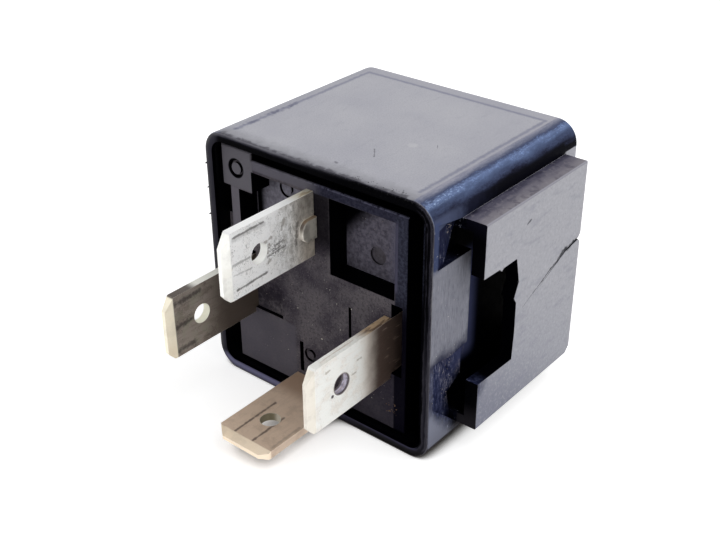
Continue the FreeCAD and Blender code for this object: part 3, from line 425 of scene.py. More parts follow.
def rim_highlight_and_shade(paint, depth):
    """Front face of the rim: a pale painted highlight on the outer line that falls off to black painted
    shade deeper in, each side in its own tone.
    """
    def profile(value, *stops):
        """Gradient over stops of a depth, the grey there (0 is the darkest) and its extra blue, often 6."""
        tones = []
        for place, grey, blue in (stop + (6,) if len(stop) == 2 else stop for stop in stops):
            tones.append((place, srgb(grey, grey - 1, grey + blue, FRONT_LIGHT) if grey else DARK))
        return paint.gradient(value, *tones)
    x, z = paint.x, paint.z
    on_side = wavy(depth, paint.noise(0.2, detail=4.0, stretch=(1, 1, 9), roughness=0.6), 0.5)
    on_level = wavy(depth, paint.noise(0.2, detail=4.0, stretch=(9, 1, 1), roughness=0.6), 0.3)
    top_left = profile(on_level, (0.0, 104), (0.15, 88), (0.28, 50), (0.4, 10), (0.5, 0))
    top_right = profile(on_level, (0.0, 74), (0.1, 34), (0.22, 0))
    left = profile(on_side, (0.0, 78, 2), (0.2, 72, 2), (0.45, 48), (0.85, 36))
    right_high = profile(on_side, (0.0, 98, 4), (0.12, 56), (0.22, 26), (0.32, 44), (0.42, 12), (0.5, 0),
                         (0.66, 0), (0.72, 32), (0.78, 0))
    right_low = profile(on_side, (0.0, 80), (0.2, 44), (0.34, 52), (0.44, 18), (0.6, 30), (0.74, 44),
                        (0.82, 0))
    low_left = profile(on_level, (0.0, 50, 10), (0.3, 84, 20), (0.6, 104, 26), (0.9, 78, 20))
    low_right = profile(on_level, (0.0, 8, 0), (0.35, 18, 0), (0.62, 32, 4), (0.8, 50, 14))
    top = paint.over(top_left, top_right, above(x, 0.5, 4.5))
    right = paint.over(right_high, right_low, below(z, -1.0, 5.0))
    low = paint.over(low_left, low_right, above(x, 0.0, 6.0))
    colour = paint.over(top, low, below(z, -11.4, 0.4))
    colour = paint.over(colour, left, both(below(x, -11.4, 0.4), above(z, -11.2, 0.8)))
    return paint.over(colour, right, both(above(x, 11.4, 0.4), above(z, -11.6, 0.5)))


def edge_reflection_band(paint, mottle):
    """Long rounded edges: a painted reflection that runs from grey through navy, with bright blue painted
    glints, to black painted shade.
    """
    fleck = paint.noise(0.15, detail=6.0, stretch=(1, 2.4, 1), roughness=0.8)
    drift = paint.noise(0.6, detail=4.0, stretch=(1, 5, 1))
    bent = wavy(wavy(calc("ABSOLUTE", paint.facing_x), drift, 0.35), fleck, 0.3)
    colour = paint.gradient(bent, (0.05, (150, 150, 164)), (0.2, (112, 116, 136)), (0.34, (68, 75, 102)),
                            (0.5, (102, 118, 154)), (0.66, (78, 91, 122)), (0.8, (60, 68, 94)),
                            (0.92, (34, 36, 53)), (1.0, (8, 8, 15)))
    # Painted glints along the middle of the rounding, brightest near the front end.
    glint_mask = both(between(bent, 0.42, 0.66, 0.12), ramp(fleck, 0.46, 0.62), ramp(mottle, 0.28, 0.58))
    near_end = below(paint.y, 3.0, 4.0)
    colour = paint.over(colour, (128, 150, 196), glint_mask, 0.85)
    colour = paint.over(colour, (188, 208, 236), both(glint_mask, near_end, ramp(fleck, 0.5, 0.66)))
    # Painted shade where the rounding faces down.
    return paint.over(colour, (34, 30, 34), below(paint.facing_z, -0.08, 0.05))


def far_edge_reflection(paint):
    """Rounded edges on the far side: the grey of the case with a soft navy painted reflection along its
    middle, and a darker painted shade where they face down.
    """
    drift = paint.noise(0.8, detail=4.0, stretch=(1, 4, 1))
    upward = wavy(paint.facing_z, drift, 0.3)
    # Painted reflection: a soft navy streak.
    streak = between(upward, 0.5, 0.86, 0.2)
    colour = paint.over(paint.colour, (74, 84, 116), streak, 0.8)
    # Painted shade where the rounding faces down.
    return paint.over(colour, (120, 120, 132), below(paint.facing_z, -0.3, 0.35), 0.8)


def socket_marks(paint):
    """The bracket socket: black painted shade in the hollows, a grey painted sheen on the land that fades to
    navy painted shade at its edges, scratched navy lead-ins of painted reflection and shade with painted
    glints, and a side wall that darkens as painted shade near the floor.
    """
    x, y, z = paint.x, paint.y, paint.z
    on_side = both(above(x, SOCKET_INNER, 0.2), between(z, PLATE_LOW - 0.5, PLATE_HIGH - 0.02, 0.05),
                   below(y, PLATE_BACK + 0.1, 0.05))
    outer_shelf = both(paint.faces_up, above(z, PLATE_HIGH - 0.25, 0.1))
    shaded_hollow = both(on_side, below(x, PLATE_OUTER - 0.04, 0.03), above(y, -0.3, 0.15), apart(outer_shelf))
    # Painted shade: the hollows are black.
    paint.lay(DARK, shaded_hollow)
    # Painted reflection: a dim navy on the shaded wall beside the land.
    reflection_beside_land = both(shaded_hollow, below(x, CASE_HALF_WIDTH + 0.2, 0.1), below(y, LAND_BACK + 3.0, 0.8),
                       between(z, LAND_LOW - 3.0, LAND_HIGH - 1.2, 0.8))
    paint.lay((60, 64, 94), reflection_beside_land, 0.9)
    side_wall = both(between(x, CASE_HALF_WIDTH - 0.1, CASE_HALF_WIDTH + 0.1, 0.04),
                     above(paint.facing_x, 0.7, 0.1), below(y, PLATE_BACK + 0.1, 0.05))
    scuff = paint.noise(0.35, detail=6.0, stretch=(1, 1, 2.2), roughness=0.75)
    drift = paint.noise(1.6, detail=5.0, roughness=0.6)
    # The lead-ins: navy painted reflection and shade, with scuffs.
    navy = paint.over((36, 40, 68), (84, 90, 118), ramp(scuff, 0.46, 0.66), 0.85)
    navy = paint.over(navy, (8, 9, 20), below(scuff, 0.42, 0.06), 0.7)
    from_land = minus(plus(y, drift, 1.6), between(z, -6.5, 0.0, 0.8), 1.3)
    off_land = both(on_side, apart(between(z, LAND_LOW, LAND_HIGH, 0.3)))
    lead_in = both(off_land, above(x, 11.2, 0.3), below(from_land, 3.2, 1.1))
    navy = paint.over(navy, (24, 26, 48), above(z, LAND_HIGH, 0.3), 0.7)
    paint.lay(navy, lead_in, 0.9)
    # The land: grey painted sheen with brushing.
    land_tone = paint.over((134, 135, 145), (128, 129, 139), ramp(drift, 0.38, 0.62))
    brushed = paint.noise(0.16, detail=4.0, stretch=(1, 1, 5), roughness=0.7)
    land_tone = paint.over(land_tone, (96, 98, 112), ramp(brushed, 0.5, 0.68), 0.55)
    land_tone = paint.over(land_tone, (156, 157, 166), below(brushed, 0.4, 0.06), 0.4)
    # Painted shade: the land fades to navy at its back and low edges.
    land_shade_edge = plus(y, drift, 1.0)
    land_tone = paint.over(land_tone, (30, 34, 60), above(land_shade_edge, LAND_BACK + 0.55, 0.45))
    land_low_shade = minus(z, drift, 2.0)
    land_tone = paint.over(land_tone, (28, 31, 56), below(land_low_shade, LAND_LOW - 0.5, 0.9))
    paint.lay(land_tone, both(side_wall, between(z, LAND_LOW - 0.3, LAND_HIGH, 0.12)))
    # Painted shade: the side wall darkens towards the bottom.
    low_edge = plus(plus(z, y), drift, 1.5)
    low_wall = both(side_wall, below(low_edge, -7.4, 1.0))
    low_wall_shade = paint.gradient(z, (-11.9, (50, 46, 56)), (-11.0, (112, 114, 128)), (-9.0, (124, 127, 142)))
    paint.lay(low_wall_shade, low_wall)
    # Painted reflection: a navy strip at the front, above the land.
    front_strip_reflection = both(side_wall, below(y, 0.0, 0.3), above(z, LAND_HIGH, 0.5))
    paint.lay((64, 74, 106), front_strip_reflection, 0.85)
    smudge = both(either(paint.stroke((CASE_HALF_WIDTH, 1.6, -3.2), (CASE_HALF_WIDTH, 3.0, -7.2), 2.0, 0.5),
                         paint.stroke((12.6, 4.4, -5.4), (12.6, 5.8, -4.6), 1.4, 0.5),
                         paint.stroke((14.7, 3.0, -6.4), (14.7, 3.0, -7.6), 0.5, 0.5)),
                  ramp(scuff, 0.44, 0.7))
    paint.lay((118, 113, 120), smudge, 0.75)
    # Painted glints on the lead-ins.
    glints = both(off_land, below(y, 3.4, 0.6), above(scuff, 0.64, 0.03))
    paint.lay((150, 152, 168), glints, 0.7)


def top_marks(paint, mottle, on_top):
    """Frame lines, painted shade near the right edge and towards the front edge, the spot and the scratches
    on the top.
    """
    def top_line(start, end, width, ragged):
        return paint.stroke((*start, CASE_TOP), (*end, CASE_TOP), width, ragged)
    outside = either(above(paint.y, PANEL_BACK, 0.12), above(paint.x, PANEL_HALF, 0.12),
                     below(paint.x, -PANEL_HALF, 0.12))
    paint.lay((156, 156, 168), both(on_top, outside), 0.4)
    back_left, back_right = (-PANEL_HALF, PANEL_BACK), (PANEL_HALF, PANEL_BACK)
    panel_lines = either(top_line(back_left, back_right, 0.4, 0.25),
                         top_line((-PANEL_HALF, PANEL_FRONT), back_left, 0.4, 0.35),
                         top_line((PANEL_HALF, PANEL_FRONT), back_right, 0.36, 0.4))
    paint.lay((122, 124, 144), panel_lines, 0.75)
    left_dirt = top_line((-PANEL_HALF, 0.8), (-PANEL_HALF, 8.6), 0.6, 0.4)
    paint.lay((104, 106, 126), both(left_dirt, ramp(mottle, 0.4, 0.6)))
    # Painted shade: the top darkens near its right rounded edge.
    near_side = both(on_top, above(paint.x, 11.4, 0.9))
    paint.lay((118, 118, 138), near_side, 0.85)
    # Painted shade: the top's sheen falls off towards its front edge.
    front_sheen_falloff = wavy(wavy(paint.y, mottle, 1.4), paint.grain, 0.5)
    paint.lay((142, 142, 149), both(on_top, below(front_sheen_falloff, 0.1, 1.1)))
    paint.lay((96, 95, 102), both(on_top, below(front_sheen_falloff, -0.68, 0.22)))
    for start, end, width in TOP_SCRATCHES:
        paint.lay((88, 88, 96), top_line(start, end, width, 0.8), 0.65)
    paint.lay((192, 192, 196), paint.spot((4.3, 7.7, CASE_TOP), 0.5, 0.6), 0.6)


def plate_marks(paint, mottle, rub, rounded):
    """The socket plate: painted shade on its shelf next to the wall, a painted sheen on its outer face,
    darker and bluer towards the bottom front, painted highlights on its rounded edges, and the crack with a
    speck above it.
    """
    shelf = both(above(paint.x, CASE_HALF_WIDTH + 0.02, 0.02), above(paint.facing_z, 0.7, 0.1),
                 above(paint.z, 9.5, 0.2))
    # Painted shade on the shelf, darkest next to the wall.
    across = wavy(paint.x, rub, 1.6)
    shelf_shade_tone = paint.gradient(across, (12.9, (34, 34, 48)), (13.4, (78, 76, 92)), (14.2, (112, 109, 120)),
                                (15.35, (138, 134, 140)))
    shelf_shade_tone = paint.over(shelf_shade_tone, (72, 70, 86), ramp(mottle, 0.5, 0.64), 0.45)
    shelf_shade_tone = paint.over(shelf_shade_tone, (150, 146, 152), above(paint.grain, 0.62, 0.06), 0.25)
    paint.lay(shelf_shade_tone, shelf)
    outer = both(above(paint.x, PLATE_OUTER - 0.1, 0.05), above(paint.facing_x, 0.8, 0.1))
    # Painted sheen on the plate's outer face, darker and bluer towards the bottom front.
    fall = plus(paint.z, paint.y, 0.6)
    tone = paint.gradient(fall, (-10.0, (112, 114, 132)), (-5.0, (126, 128, 142)), (1.0, (160, 161, 169)),
                          (9.0, (172, 172, 178)))
    paint.lay(tone, outer, 0.85)
    speckle = paint.noise(0.3, detail=6.0, roughness=0.75)
    streaky = paint.noise(0.9, detail=4.0, stretch=(1, 3, 1), roughness=0.6)
    paint.lay((120, 120, 134), both(outer, ramp(speckle, 0.5, 0.7)), 0.3)
    paint.lay((200, 200, 206), both(outer, below(speckle, 0.42, 0.08)), 0.3)
    paint.lay((132, 133, 148), both(outer, ramp(streaky, 0.52, 0.7)), 0.3)
    # Painted highlight on the plate's rounded edges.
    plate_edge_highlight = both(above(paint.x, PLATE_OUTER - 0.3, 0.1), above(rounded, 0.1, 0.05))
    paint.lay((150, 149, 158), plate_edge_highlight)
    for here, there in zip(PLATE_CRACK, PLATE_CRACK[1:]):
        part = paint.stroke((PLATE_OUTER, here[0], here[1]), (PLATE_OUTER, there[0], there[1]),
                            (here[2] + there[2]) / 2, 0.45)
        paint.lay((48, 49, 54), part, here[3])
    speck = paint.stroke((PLATE_OUTER, 9.3, 8.0), (PLATE_OUTER, 9.9, 8.2), 0.18, 0.6)
    paint.lay((70, 70, 78), speck, 0.8)


def case_plastic():
    """Glossy dark case painted as lit: a grey painted sheen on the broad faces, navy painted reflections on
    the rounded edges, black painted shade in the socket and inside the case.
    """
    paint = Paint("case_plastic", specular=0.01)
    x, y, z = paint.x, paint.y, paint.z
    cloud = paint.noise(7.0, detail=3.0)
    mottle = paint.noise(0.9, detail=5.0, warp=0.6)
    fine = paint.noise(0.13, detail=5.0, roughness=0.75)
    rub = paint.noise(0.5, detail=4.0, stretch=(1, 4, 1))
    # Painted sheen: the broad faces take a grey that stands in for the dark plastic's reflection of a bright
    # room.
    paint.colour = paint.over((171, 171, 180), (180, 180, 187), ramp(cloud, 0.3, 0.7))
    paint.lay((150, 150, 162), ramp(rub, 0.55, 0.8), 0.3)
    paint.lay((196, 196, 202), ramp(fine, 0.54, 0.7), 0.5)
    paint.lay((132, 132, 146), below(fine, 0.42, 0.09), 0.5)
    on_top = above(z, CASE_TOP - 0.1, 0.05)
    top_marks(paint, mottle, on_top)
    rounded = calc("MINIMUM", calc("ABSOLUTE", paint.facing_x), calc("ABSOLUTE", paint.facing_z))
    on_corner = both(above(rounded, 0.05, 0.04), above(y, -0.85, 0.05))
    near_side = above(x, 0.0, 0.5)
    paint.lay(far_edge_reflection(paint), both(on_corner, apart(near_side)))
    paint.lay(edge_reflection_band(paint, mottle), both(on_corner, near_side))
    # Painted shade and reflection: the side above the socket runs from navy to black under the shelf.
    upper_side = both(above(paint.facing_x, 0.9, 0.05), below(x, CASE_HALF_WIDTH + 0.2, 0.1),
                      above(z, PLATE_HIGH - 0.1, 0.1), below(y, PLATE_BACK + 0.1, 0.3))
    beyond = wavy(y, mottle, 3.0)
    upper_tone = paint.gradient(beyond, (1.5, (70, 77, 102)), (4.0, (26, 28, 44)), (8.0, (9, 9, 16)))
    paint.lay(upper_tone, upper_side)
    plate_marks(paint, mottle, rub, rounded)
    depth = wall_depth(paint)
    forward = below(paint.facing_y, -0.75, 0.1)
    socket_marks(paint)
    # Painted shade: the plate's forward face is black, a little lighter at its top and bottom ends.
    plate_front = both(forward, above(x, CASE_HALF_WIDTH + 0.3, 0.1))
    plate_front_shade = paint.gradient(z, (-9.4, (36, 34, 38)), (-7.6, DARK), (8.8, DARK), (10.4, (14, 13, 24)))
    paint.lay(plate_front_shade, plate_front)
    # The rim's front face: a painted highlight on its outer line, painted shade inward, with specks of grit.
    rim = both(forward, below(y, RIM_FACE + 0.4, 0.1))
    grit = share(ramp(fine, 0.56, 0.72), 0.5)
    rim_tone = paint.over(rim_highlight_and_shade(paint, depth), srgb(128, 126, 128, FRONT_LIGHT),
                          both(grit, below(depth, 0.25, 0.2)))
    # Painted shade: the case's inside faces are black.
    inside_shade = both(above(depth, CASE_WALL - 0.06, 0.04), apart(rim), below(x, 11.5, 0.1),
                 below(y, PANEL_BACK + 0.9, 0.1))
    paint.lay(DARK, inside_shade)
    inward_shade = both(below(paint.facing_x, -0.2, 0.1), between(x, 9.0, 12.5, 0.2), apart(rim))
    paint.lay(DARK, inward_shade)
    paint.lay(rim_tone, rim)
    # Lighter sharp edges of the plate: wear with a painted highlight.
    worn = both(paint.edge(0.10), ramp(mottle, 0.35, 0.6), above(x, PLATE_OUTER - 0.12, 0.05))
    paint.lay((172, 172, 180), worn, 0.5)
    paint.raise_by(fine, 0.012)
    paint.raise_by(rub, 0.015)
    paint.shader.inputs["Coat Roughness"].default_value = 0.3
    broad = both(above(y, RIM_FACE + 0.4, 0.1), either(on_top, apart(above(x, SOCKET_INNER, 0.2))))
    feed(paint.shader.inputs["Coat Weight"], share(broad, 0.3))
    return paint.finish(ramp(mottle, 0.3, 0.7, 0.36, 0.5))


def base_plastic():
    """Grainy dark base with dust in it, with painted shade: black pocket walls, dark pocket corners, the
    grey blade's shadow and a dark band low on the left, and painted highlights along two edges.
    """
    paint = Paint("base_plastic", specular=0.01, light=FRONT_LIGHT)
    x, y, z = paint.x, paint.y, paint.z
    cloud = paint.noise(3.0, detail=4.0)
    grain = paint.noise(0.3, detail=5.0, roughness=0.7)
    fine = paint.noise(0.14, detail=3.0)
    paint.colour = paint.over((56, 52, 59), (82, 78, 82), ramp(cloud, 0.36, 0.64))
    paint.lay((34, 31, 38), ramp(grain, 0.46, 0.66), 0.55)
    paint.lay((118, 112, 112), ramp(fine, 0.56, 0.72), 0.45)
    smooth = both(below(x, -3.3, 0.3), below(z, -5.2, 0.2))
    paint.lay((78, 75, 82), smooth, 0.8)
    # Painted shadow of the grey blade: a black strip beside the pocket.
    blade_shadow_strip = both(between(x, -1.2, 1.35, 0.4), above(z, 4.4, 1.2))
    paint.lay((5, 4, 8), blade_shadow_strip, 0.85)
    low_right = above(minus(x, z), 11.0, 3.0)
    paint.lay((34, 31, 40), low_right, 0.75)
    boss = both(below(x, BOSS_RIGHT, 0.1), above(z, BOSS_LOW, 0.1), below(y, 0.2, 0.1))
    paint.lay((88, 86, 92), boss)
    left_bar = both(below(x, LEFT_BAR_RIGHT, 0.1), between(z, 3.0, BOSS_LOW, 0.2), below(y, 0.2, 0.1))
    paint.lay((90, 87, 94), left_bar)
    top_bar = both(above(z, TOP_BAR_LOW, 0.1), above(x, BOSS_RIGHT, 0.1))
    bar_dark = paint.over((30, 30, 42), (44, 44, 57), ramp(grain, 0.4, 0.62))
    bar_tone = paint.over((84, 82, 90), bar_dark, above(x, -0.5, 1.2))
    paint.lay(bar_tone, top_bar)
    # Painted highlight: a lighter line along the top bar's front edge.
    top_line = paint.over((104, 102, 112), (84, 84, 102), above(x, -0.5, 1.2))
    paint.lay(top_line, both(top_bar, above(z, 10.36, 0.05), ramp(grain, 0.36, 0.56)))
    right_bar = both(above(x, RIGHT_BAR_LEFT, 0.1), below(z, 10.3, 0.2))
    right_mottle = paint.over((34, 34, 45), (50, 52, 65), ramp(grain, 0.4, 0.62))
    right_tone = paint.over((7, 6, 14), right_mottle, above(z, 2.0, 1.8))
    paint.lay(right_tone, right_bar)
    # Painted highlight along the square pocket's right edge.
    paint.lay((62, 61, 76),
              both(between(x, RIGHT_BAR_LEFT - 0.05, RIGHT_BAR_LEFT + 0.25, 0.08),
                   between(z, 3.0, TOP_BAR_LOW, 0.3)))
    pocket_floor = both(above(y, 1.5, 0.2), between(x, POCKETS_LEFT, POCKETS_RIGHT, 0.1),
                        above(z, POCKETS_LOW, 0.1))
    dusty = ramp(paint.noise(0.45, detail=6.0, roughness=0.7), 0.34, 0.66)
    floor_tone = paint.over((66, 63, 72), (94, 91, 102), dusty)
    floor_tone = paint.over(floor_tone, (98, 97, 118), above(x, 6.4, 0.8), 0.5)
    dimple = paint.spot((DIMPLE_X, POCKET_DEPTH, DIMPLE_Z), 1.0, 0.2)
    floor_tone = paint.over(floor_tone, (60, 56, 58), dimple, 0.65)
    paint.lay(floor_tone, pocket_floor)
    shade = above(minus(z, x), 4.1, 1.3)
    square = both(pocket_floor, above(x, 1.0, 0.1))
    paint.lay(DARK, both(square, shade))
    # Painted shade near the top of the square pocket's floor.
    paint.lay(DARK, both(square, above(z, 9.0, 0.8)), 0.7)
    left_floor = both(pocket_floor, below(x, LEFT_POCKET_RIGHT, 0.1))
    left_tone = paint.over((92, 90, 100), (116, 114, 124), dusty)
    paint.lay(left_tone, left_floor)
    # Painted shade in the left pocket's far corner and along its left wall.
    far_corner_shade = above(minus(z, x, 0.5), 11.6, 1.2)
    paint.lay((14, 13, 18), both(left_floor, far_corner_shade), 0.85)
    paint.lay(DARK, both(left_floor, below(x, -8.9, 0.4)))
    # Painted shade: the pocket walls are black, all but the lit lip at the top edge.
    lit_lip = both(above(z, 10.3, 0.05), below(y, 0.22, 0.12))
    wall = both(above(paint.facing_y, -0.5, 0.1), apart(lit_lip))
    in_dimple = both(paint.spot((DIMPLE_X, POCKET_DEPTH, DIMPLE_Z), 1.3, 0.0),
                     above(y, POCKET_DEPTH - 0.1, 0.05))
    paint.lay(paint.over(DARK, (44, 42, 46), in_dimple), wall)
    # Painted shade: a broad dark band above a dark line at the step over the smooth lower left.
    purple_shade = either(paint.stroke((-8.6, 0.0, -3.6), (-5.6, 0.0, -3.2), 2.0, 0.6),
                    paint.stroke((-8.8, 0.0, -4.85), (-5.0, 0.0, -4.85), 0.3, 0.4))
    paint.lay((24, 20, 30), purple_shade, 0.75)
    ring = calc("ABSOLUTE", calc("SUBTRACT", paint.distance((BOSS_X, 0.0, BOSS_Z)), BOSS_RING))
    paint.lay(DARK, both(below(ring, 0.12, 0.06), below(y, 1.0, 0.1)))
    paint.raise_by(grain, 0.05)
    paint.raise_by(fine, 0.02)
    return paint.finish(ramp(grain, 0.3, 0.7, 0.42, 0.6))


class Blade(Paint):
    """Worn plated blade: scratches are drawn on its near face, in places along and across it."""

    def __init__(self, name, near_axis, near, tip_line, hole, tip_metal=0.9):
        super().__init__(name)
        self.near_axis = near_axis
        self.near = near
        self.tip_line = tip_line
        self.hole = hole
        self.tip_metal = tip_metal
        self.streak = self.noise(0.35, detail=5.0, stretch=(1, 5, 1))
        self.blotch = self.noise(1.3, detail=5.0, roughness=0.6)
        self.pits = self.noise(0.13, detail=3.0)

    def at(self, along, across):
        """Place on the near face."""
        if self.near_axis == "x":
            return (self.near, along, across)
        return (across, along, self.near)

    def line(self, tone, along, across, width, ragged, strength):
        """A dark or light line from one place along the blade to another."""
        mask = self.stroke(self.at(along[0], across[0]), self.at(along[1], across[1]), width, ragged)
        self.lay(tone, mask, strength)

    def tones(self, middle, dull, root, root_from, root_to, crackle):
        """Plating with dull blotches, dark crazing and pits, and a darker tone towards the root, painted
        shade and dark reflection from the base.
        """
        self.colour = self.over(middle, dull, ramp(self.streak, 0.5, 0.66), 0.45)
        self.lay(dull, ramp(self.blotch, 0.5, 0.62), 0.7)
        dark = shaded(dull, CRACK_LIGHT)
        lines = either(self.veins(0.8, 0.007), share(self.veins(0.35, 0.012, offset=5.0), 0.7))
        lines = both(lines, ramp(self.blotch, 0.42, 0.56))
        self.lay(dark, lines, crackle)
        self.lay(dark, below(self.pits, 0.33, 0.03), crackle)
        # Painted shade: the blade darkens towards the root by the dark base.
        self.lay(root, ramp(self.y, root_from, root_to))

    def hole_wall(self, wall):
        """Inner wall of the hole takes its own tone."""
        parts = split(vector_calc("SUBTRACT", self.place, self.at(*self.hole)))
        across = parts[2] if self.near_axis == "x" else parts[0]
        squared = plus(calc("POWER", parts[1], 2.0), calc("POWER", across, 2.0))
        self.lay(wall, below(squared, (HOLE_RADIUS + 0.02) ** 2, 0.03))

    def finish_blade(self, tip, edge_highlight, highlight_strength=0.5, wear=0.35):
        """Lays the tip's tone and the bright edges as painted highlights, and ends with the bump and the
        gloss.
        """
        on_tip = below(self.y, self.tip_line, 0.06)
        self.lay(tip, on_tip, 0.92)
        tip_wear = both(on_tip, ramp(self.blotch, 0.5, 0.64))
        self.lay(shaded(tip, TIP_WEAR_LIGHT), tip_wear, wear)
        # Painted highlight on the sharp edges.
        self.lay(edge_highlight, self.edge(0.05), highlight_strength)
        feed(self.shader.inputs["Metallic"], ramp(on_tip, 0.0, 1.0, BLADE_METAL, self.tip_metal))
        self.raise_by(self.streak, 0.012)
        self.raise_by(self.blotch, 0.02)
        self.raise_by(self.pits, 0.01)
        return self.finish(ramp(self.streak, 0.3, 0.7, 0.34, 0.52))


def blade_grey():
    """Silver-grey blade with pressed lines, crazing and dark scratches near its hole."""
    blade = Blade("blade_grey", "x", near=-0.6, tip_line=-10.1, hole=(-6.85, 6.55))
    x, y, z = blade.x, blade.y, blade.z
    ink = (78, 74, 74)
    blade.tones((255, 255, 254), (246, 245, 244), (226, 219, 209), -4.0, -0.8, 0.6)
    blade.line(ink, (-9.8, -6.2), (9.2, 9.25), 0.17, 0.5, 0.85)
    blade.line(ink, (-9.6, -6.0), (4.25, 4.4), 0.2, 0.5, 0.85)
    blade.line((150, 148, 148), (-9.7, -6.2), (9.05, 9.1), 0.4, 0.4, 0.4)
    blade.line((252, 252, 250), (-9.4, -6.4), (4.7, 4.8), 0.3, 0.5, 0.7)
    blade.line(ink, (-9.9, -8.0), (6.7, 6.7), 0.22, 0.5, 0.5)
    blade.line(ink, (-9.9, -7.8), (5.75, 5.6), 0.14, 0.6, 0.35)
    patch = both(between(y, -5.9, -3.6, 0.5), between(z, 5.5, 7.0, 0.4))
    blade.lay(ink, both(patch, blade.veins(0.4, 0.03, 1.5, 3.0)))
    for across, start, end in ((5.85, -5.9, -3.7), (6.1, -5.2, -4.3), (6.5, -5.0, -3.9)):
        blade.line(ink, (start, end), (across, across + 0.1), 0.16, 0.7, 0.7)
    for along, across in BLADE_GREY_NICKS:
        blade.line((124, 112, 102), along, across, 0.24, 0.9, 0.6)
    blade.lay((206, 190, 160), blade.spot(blade.at(-10.6, 6.2), 0.6, 0.6), 0.7)
    face = above(blade.facing_x, 0.6, 0.1)
    near_root = both(face, above(plus(y, blade.blotch, 2.0), -3.2, 1.4))
    stains = blade.noise(0.45, detail=5.0, stretch=(1, 1, 2), roughness=0.65)
    blade.lay((160, 155, 148), both(near_root, ramp(stains, 0.38, 0.6)), 0.6)
    blade.lay((104, 96, 90), both(near_root, ramp(stains, 0.58, 0.7)), 0.4)
    blade.lay((90, 84, 80), both(near_root, blade.veins(0.9, 0.012, 1.2, 2.0)), 0.5)
    shadow_root = both(face, above(y, -2.2, 0.8), above(z, 8.0, 0.8))
    blade.lay((110, 102, 94), shadow_root, 0.6)
    low_root = both(face, above(y, -1.6, 1.0), below(z, 5.2, 0.6))
    blade.lay((170, 156, 138), low_root, 0.5)
    top_root = blade.over((254, 244, 224), (206, 188, 160), ramp(blade.streak, 0.5, 0.62))
    edge_top = blade.over((255, 255, 254), top_root, ramp(y, -3.0, -1.0))
    blade.lay(edge_top, blade.faces_up, 0.95)
    lug = both(above(x, -0.55, 0.03), between(z, 5.0, 7.8, 0.1))
    lug_tone = blade.over((142, 137, 130), (182, 177, 168), ramp(blade.blotch, 0.4, 0.58))
    lug_tone = blade.over(lug_tone, (112, 105, 98), ramp(stains, 0.54, 0.68), 0.6)
    blade.lay(lug_tone, lug)
    lug_side = both(lug, below(blade.facing_x, 0.7, 0.1))
    # The lug's forward side: a painted highlight below, painted shade above.
    lug_front_shading = blade.over((112, 103, 95), (244, 239, 229), below(z, 6.6, 0.4))
    blade.lay(lug_front_shading, both(lug_side, below(blade.facing_y, -0.25, 0.15)))
    brown = both(lug_side, above(z, 7.3, 0.15))
    blade.lay((160, 134, 106), brown, 0.8)
    # Painted shade round the lug.
    around = both(face, below(x, -0.55, 0.03), between(y, -2.5, 0.2, 0.15), between(z, 4.9, 8.1, 0.2))
    blade.lay((120, 112, 104), around, 0.25)
    left_of_lug = both(around, blade.stroke(blade.at(-2.15, 7.5), blade.at(-2.4, 5.5), 0.3, 0.8))
    blade.lay((72, 64, 58), left_of_lug, 0.7)
    blade.hole_wall((252, 251, 246))
    return blade.finish_blade((250, 249, 244), (252, 251, 246))


def blade_pale():
    """Cream-white blade that turns brown towards its root: a painted reflection and shade of the dark base.
    """
    blade = Blade("blade_pale", "x", near=8.07, tip_line=-9.95, hole=(-6.65, -2.95))
    blade.tones((255, 252, 245), (242, 237, 229), (216, 206, 196), -4.6, -2.8, 0.25)
    # Painted shade: brown towards the root.
    wavy_root_shade = plus(blade.y, blade.blotch, 1.2)
    blade.lay((84, 69, 62), ramp(wavy_root_shade, -3.3, -0.8))
    pale_specks = both(above(blade.y, -2.2, 0.4), ramp(blade.streak, 0.58, 0.7))
    blade.lay((150, 132, 122), pale_specks, 0.7)
    for along, across in ((-4.6, -1.65), (-5.3, -2.8), (-8.6, -0.8), (-10.9, -0.5)):
        blade.line((168, 160, 148), (along, along + 0.5), (across, across), 0.16, 0.9, 0.6)
    blade.lay((66, 58, 62), blade.spot(blade.at(-7.85, -3.6), 0.2, 0.6))
    # Painted shade: a dark ring round the hole.
    around = blade.distance(blade.at(*blade.hole))
    blade.lay((96, 82, 78), both(below(around, HOLE_RADIUS + 0.08, 0.05), above(blade.x, 8.0, 0.03)))
    # Painted reflection on the hole's wall, with painted shade at its front and back.
    lilac_reflection = blade.over((150, 144, 162), (216, 210, 226), ramp(blade.streak, 0.4, 0.6))
    wall = blade.over(lilac_reflection, (84, 74, 80), apart(between(blade.x, 7.42, 7.9, 0.06)))
    blade.hole_wall(wall)
    edge_line = both(blade.faces_up, between(blade.x, 7.58, 7.7, 0.06),
                     ramp(blade.streak, 0.42, 0.56), above(blade.y, -9.0, 1.0))
    blade.lay((168, 138, 112), edge_line, 0.5)
    root_edge = blade.over((200, 172, 138), (110, 88, 72), ramp(blade.streak, 0.46, 0.6))
    blade.lay(root_edge, both(blade.faces_up, above(blade.y, -3.2, 1.2)))
    return blade.finish_blade((222, 216, 205), (246, 242, 234))


